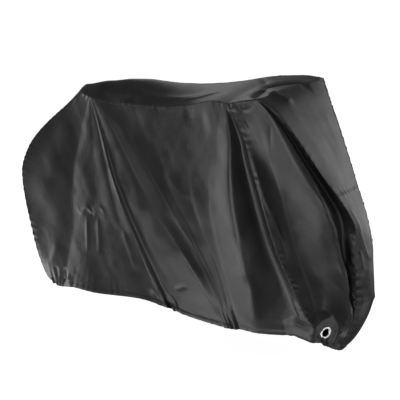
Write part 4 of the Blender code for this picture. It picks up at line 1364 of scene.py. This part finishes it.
def make_floor(studio):
    """A wide pale floor under the bicycle's wheels."""
    corners = ((-1, -1), (1, -1), (1, 1), (-1, 1))
    points = [(x * FLOOR_HALF, y * FLOOR_HALF, studio.ground) for x, y in corners]
    add_piece("floor", points, [(0, 1, 2, 3)], floor_material(studio))


def make_painted_shade_card():
    """A black card inside the cover: painted shade in the eyelet's hole, where the bright floor would shine
    through.
    """
    eyelet = Vector(EYELET_AT - ORIGIN)
    camera = CAMERA_TARGET + direction(CAMERA_AZIMUTH, CAMERA_ELEVATION) * CAMERA_DISTANCE
    way = (eyelet - camera).normalized()
    card = add_round("painted_shade_card", bmesh.ops.create_circle, eyelet + way * CARD_BEHIND, way,
                     segments=CARD_SEGMENTS, radius=CARD_RADIUS)
    card.data.materials.append(painted_shade_card_material())


def make_lights(studio):
    """Large soft lamps, and a world that is pale to the camera and dim to the cover."""
    for name, azimuth, elevation, distance, width, height, radiance in LAMPS:
        light = bpy.data.lights.new(name, "AREA")
        light.shape = "RECTANGLE"
        light.size = width
        light.size_y = height
        light.energy = radiance * math.pi * width * height
        add_facing(name, light, azimuth, elevation, distance)
    world = bpy.data.worlds.new("studio")
    bpy.context.scene.world = world
    world.use_nodes = True
    dim = world.node_tree.nodes["Background"]
    set_inputs(dim, {"Color": (studio.world_grey,) * 3 + (1,)})
    pale = add_node(world.node_tree, "ShaderNodeBackground", {"Color": WHITE})
    only_to_camera(world.node_tree, "World Output", pale, dim.outputs)
    bpy.context.scene.view_settings.view_transform = "Standard"


def make_camera():
    """A camera in front of the cover's right side, a little above it."""
    data = bpy.data.cameras.new("camera")
    data.lens = CAMERA_LENS
    data.sensor_width = CAMERA_SENSOR
    bpy.context.scene.camera = add_facing("camera", data, CAMERA_AZIMUTH, CAMERA_ELEVATION,
                                          CAMERA_DISTANCE)


# ---- the sidebar ----
class VIEW3D_PT_bicycle_cover(bpy.types.Panel):
    """Sizes, colours and operators of the bicycle cover"""
    bl_label = "Bicycle cover"
    bl_space_type = "VIEW_3D"
    bl_region_type = "UI"
    bl_category = "Cover"

    def draw(self, context):
        layout = self.layout
        for cls in SETTINGS:
            box = layout.box()
            group = getattr(context.scene, SETTINGS[cls])
            for name in group.__annotations__:
                box.prop(group, name)
        for operator in OPERATORS:
            layout.operator(operator.bl_idname)


SETTINGS = {
    CoverCloth: "cover_cloth",
    CoverStitches: "cover_stitches",
    CoverEyelet: "cover_eyelet",
    CoverStudio: "cover_studio",
}
OPERATORS = (
    OBJECT_OT_cover_sides,
    OBJECT_OT_cover_strip,
    OBJECT_OT_cover_seams,
    OBJECT_OT_cover_stitches,
    OBJECT_OT_cover_eyelet,
    OBJECT_OT_cover_studio,
)
CLASSES = (*SETTINGS, *OPERATORS, VIEW3D_PT_bicycle_cover)


def register():
    """Add the classes and their settings."""
    for cls in CLASSES:
        bpy.utils.register_class(cls)
    for cls, name in SETTINGS.items():
        setattr(bpy.types.Scene, name, bpy.props.PointerProperty(type=cls))


def unregister():
    """Take the classes and their settings away."""
    for name in SETTINGS.values():
        delattr(bpy.types.Scene, name)
    for cls in reversed(CLASSES):
        bpy.utils.unregister_class(cls)


def main():
    """Make every piece."""
    register()
    bpy.ops.object.cover_sides()
    bpy.ops.object.cover_strip()
    bpy.ops.object.cover_seams()
    bpy.ops.object.cover_stitches()
    bpy.ops.object.cover_eyelet()
    bpy.ops.object.cover_studio()
    bpy.context.view_layer.update()


if __name__ == "__main__":
    main()
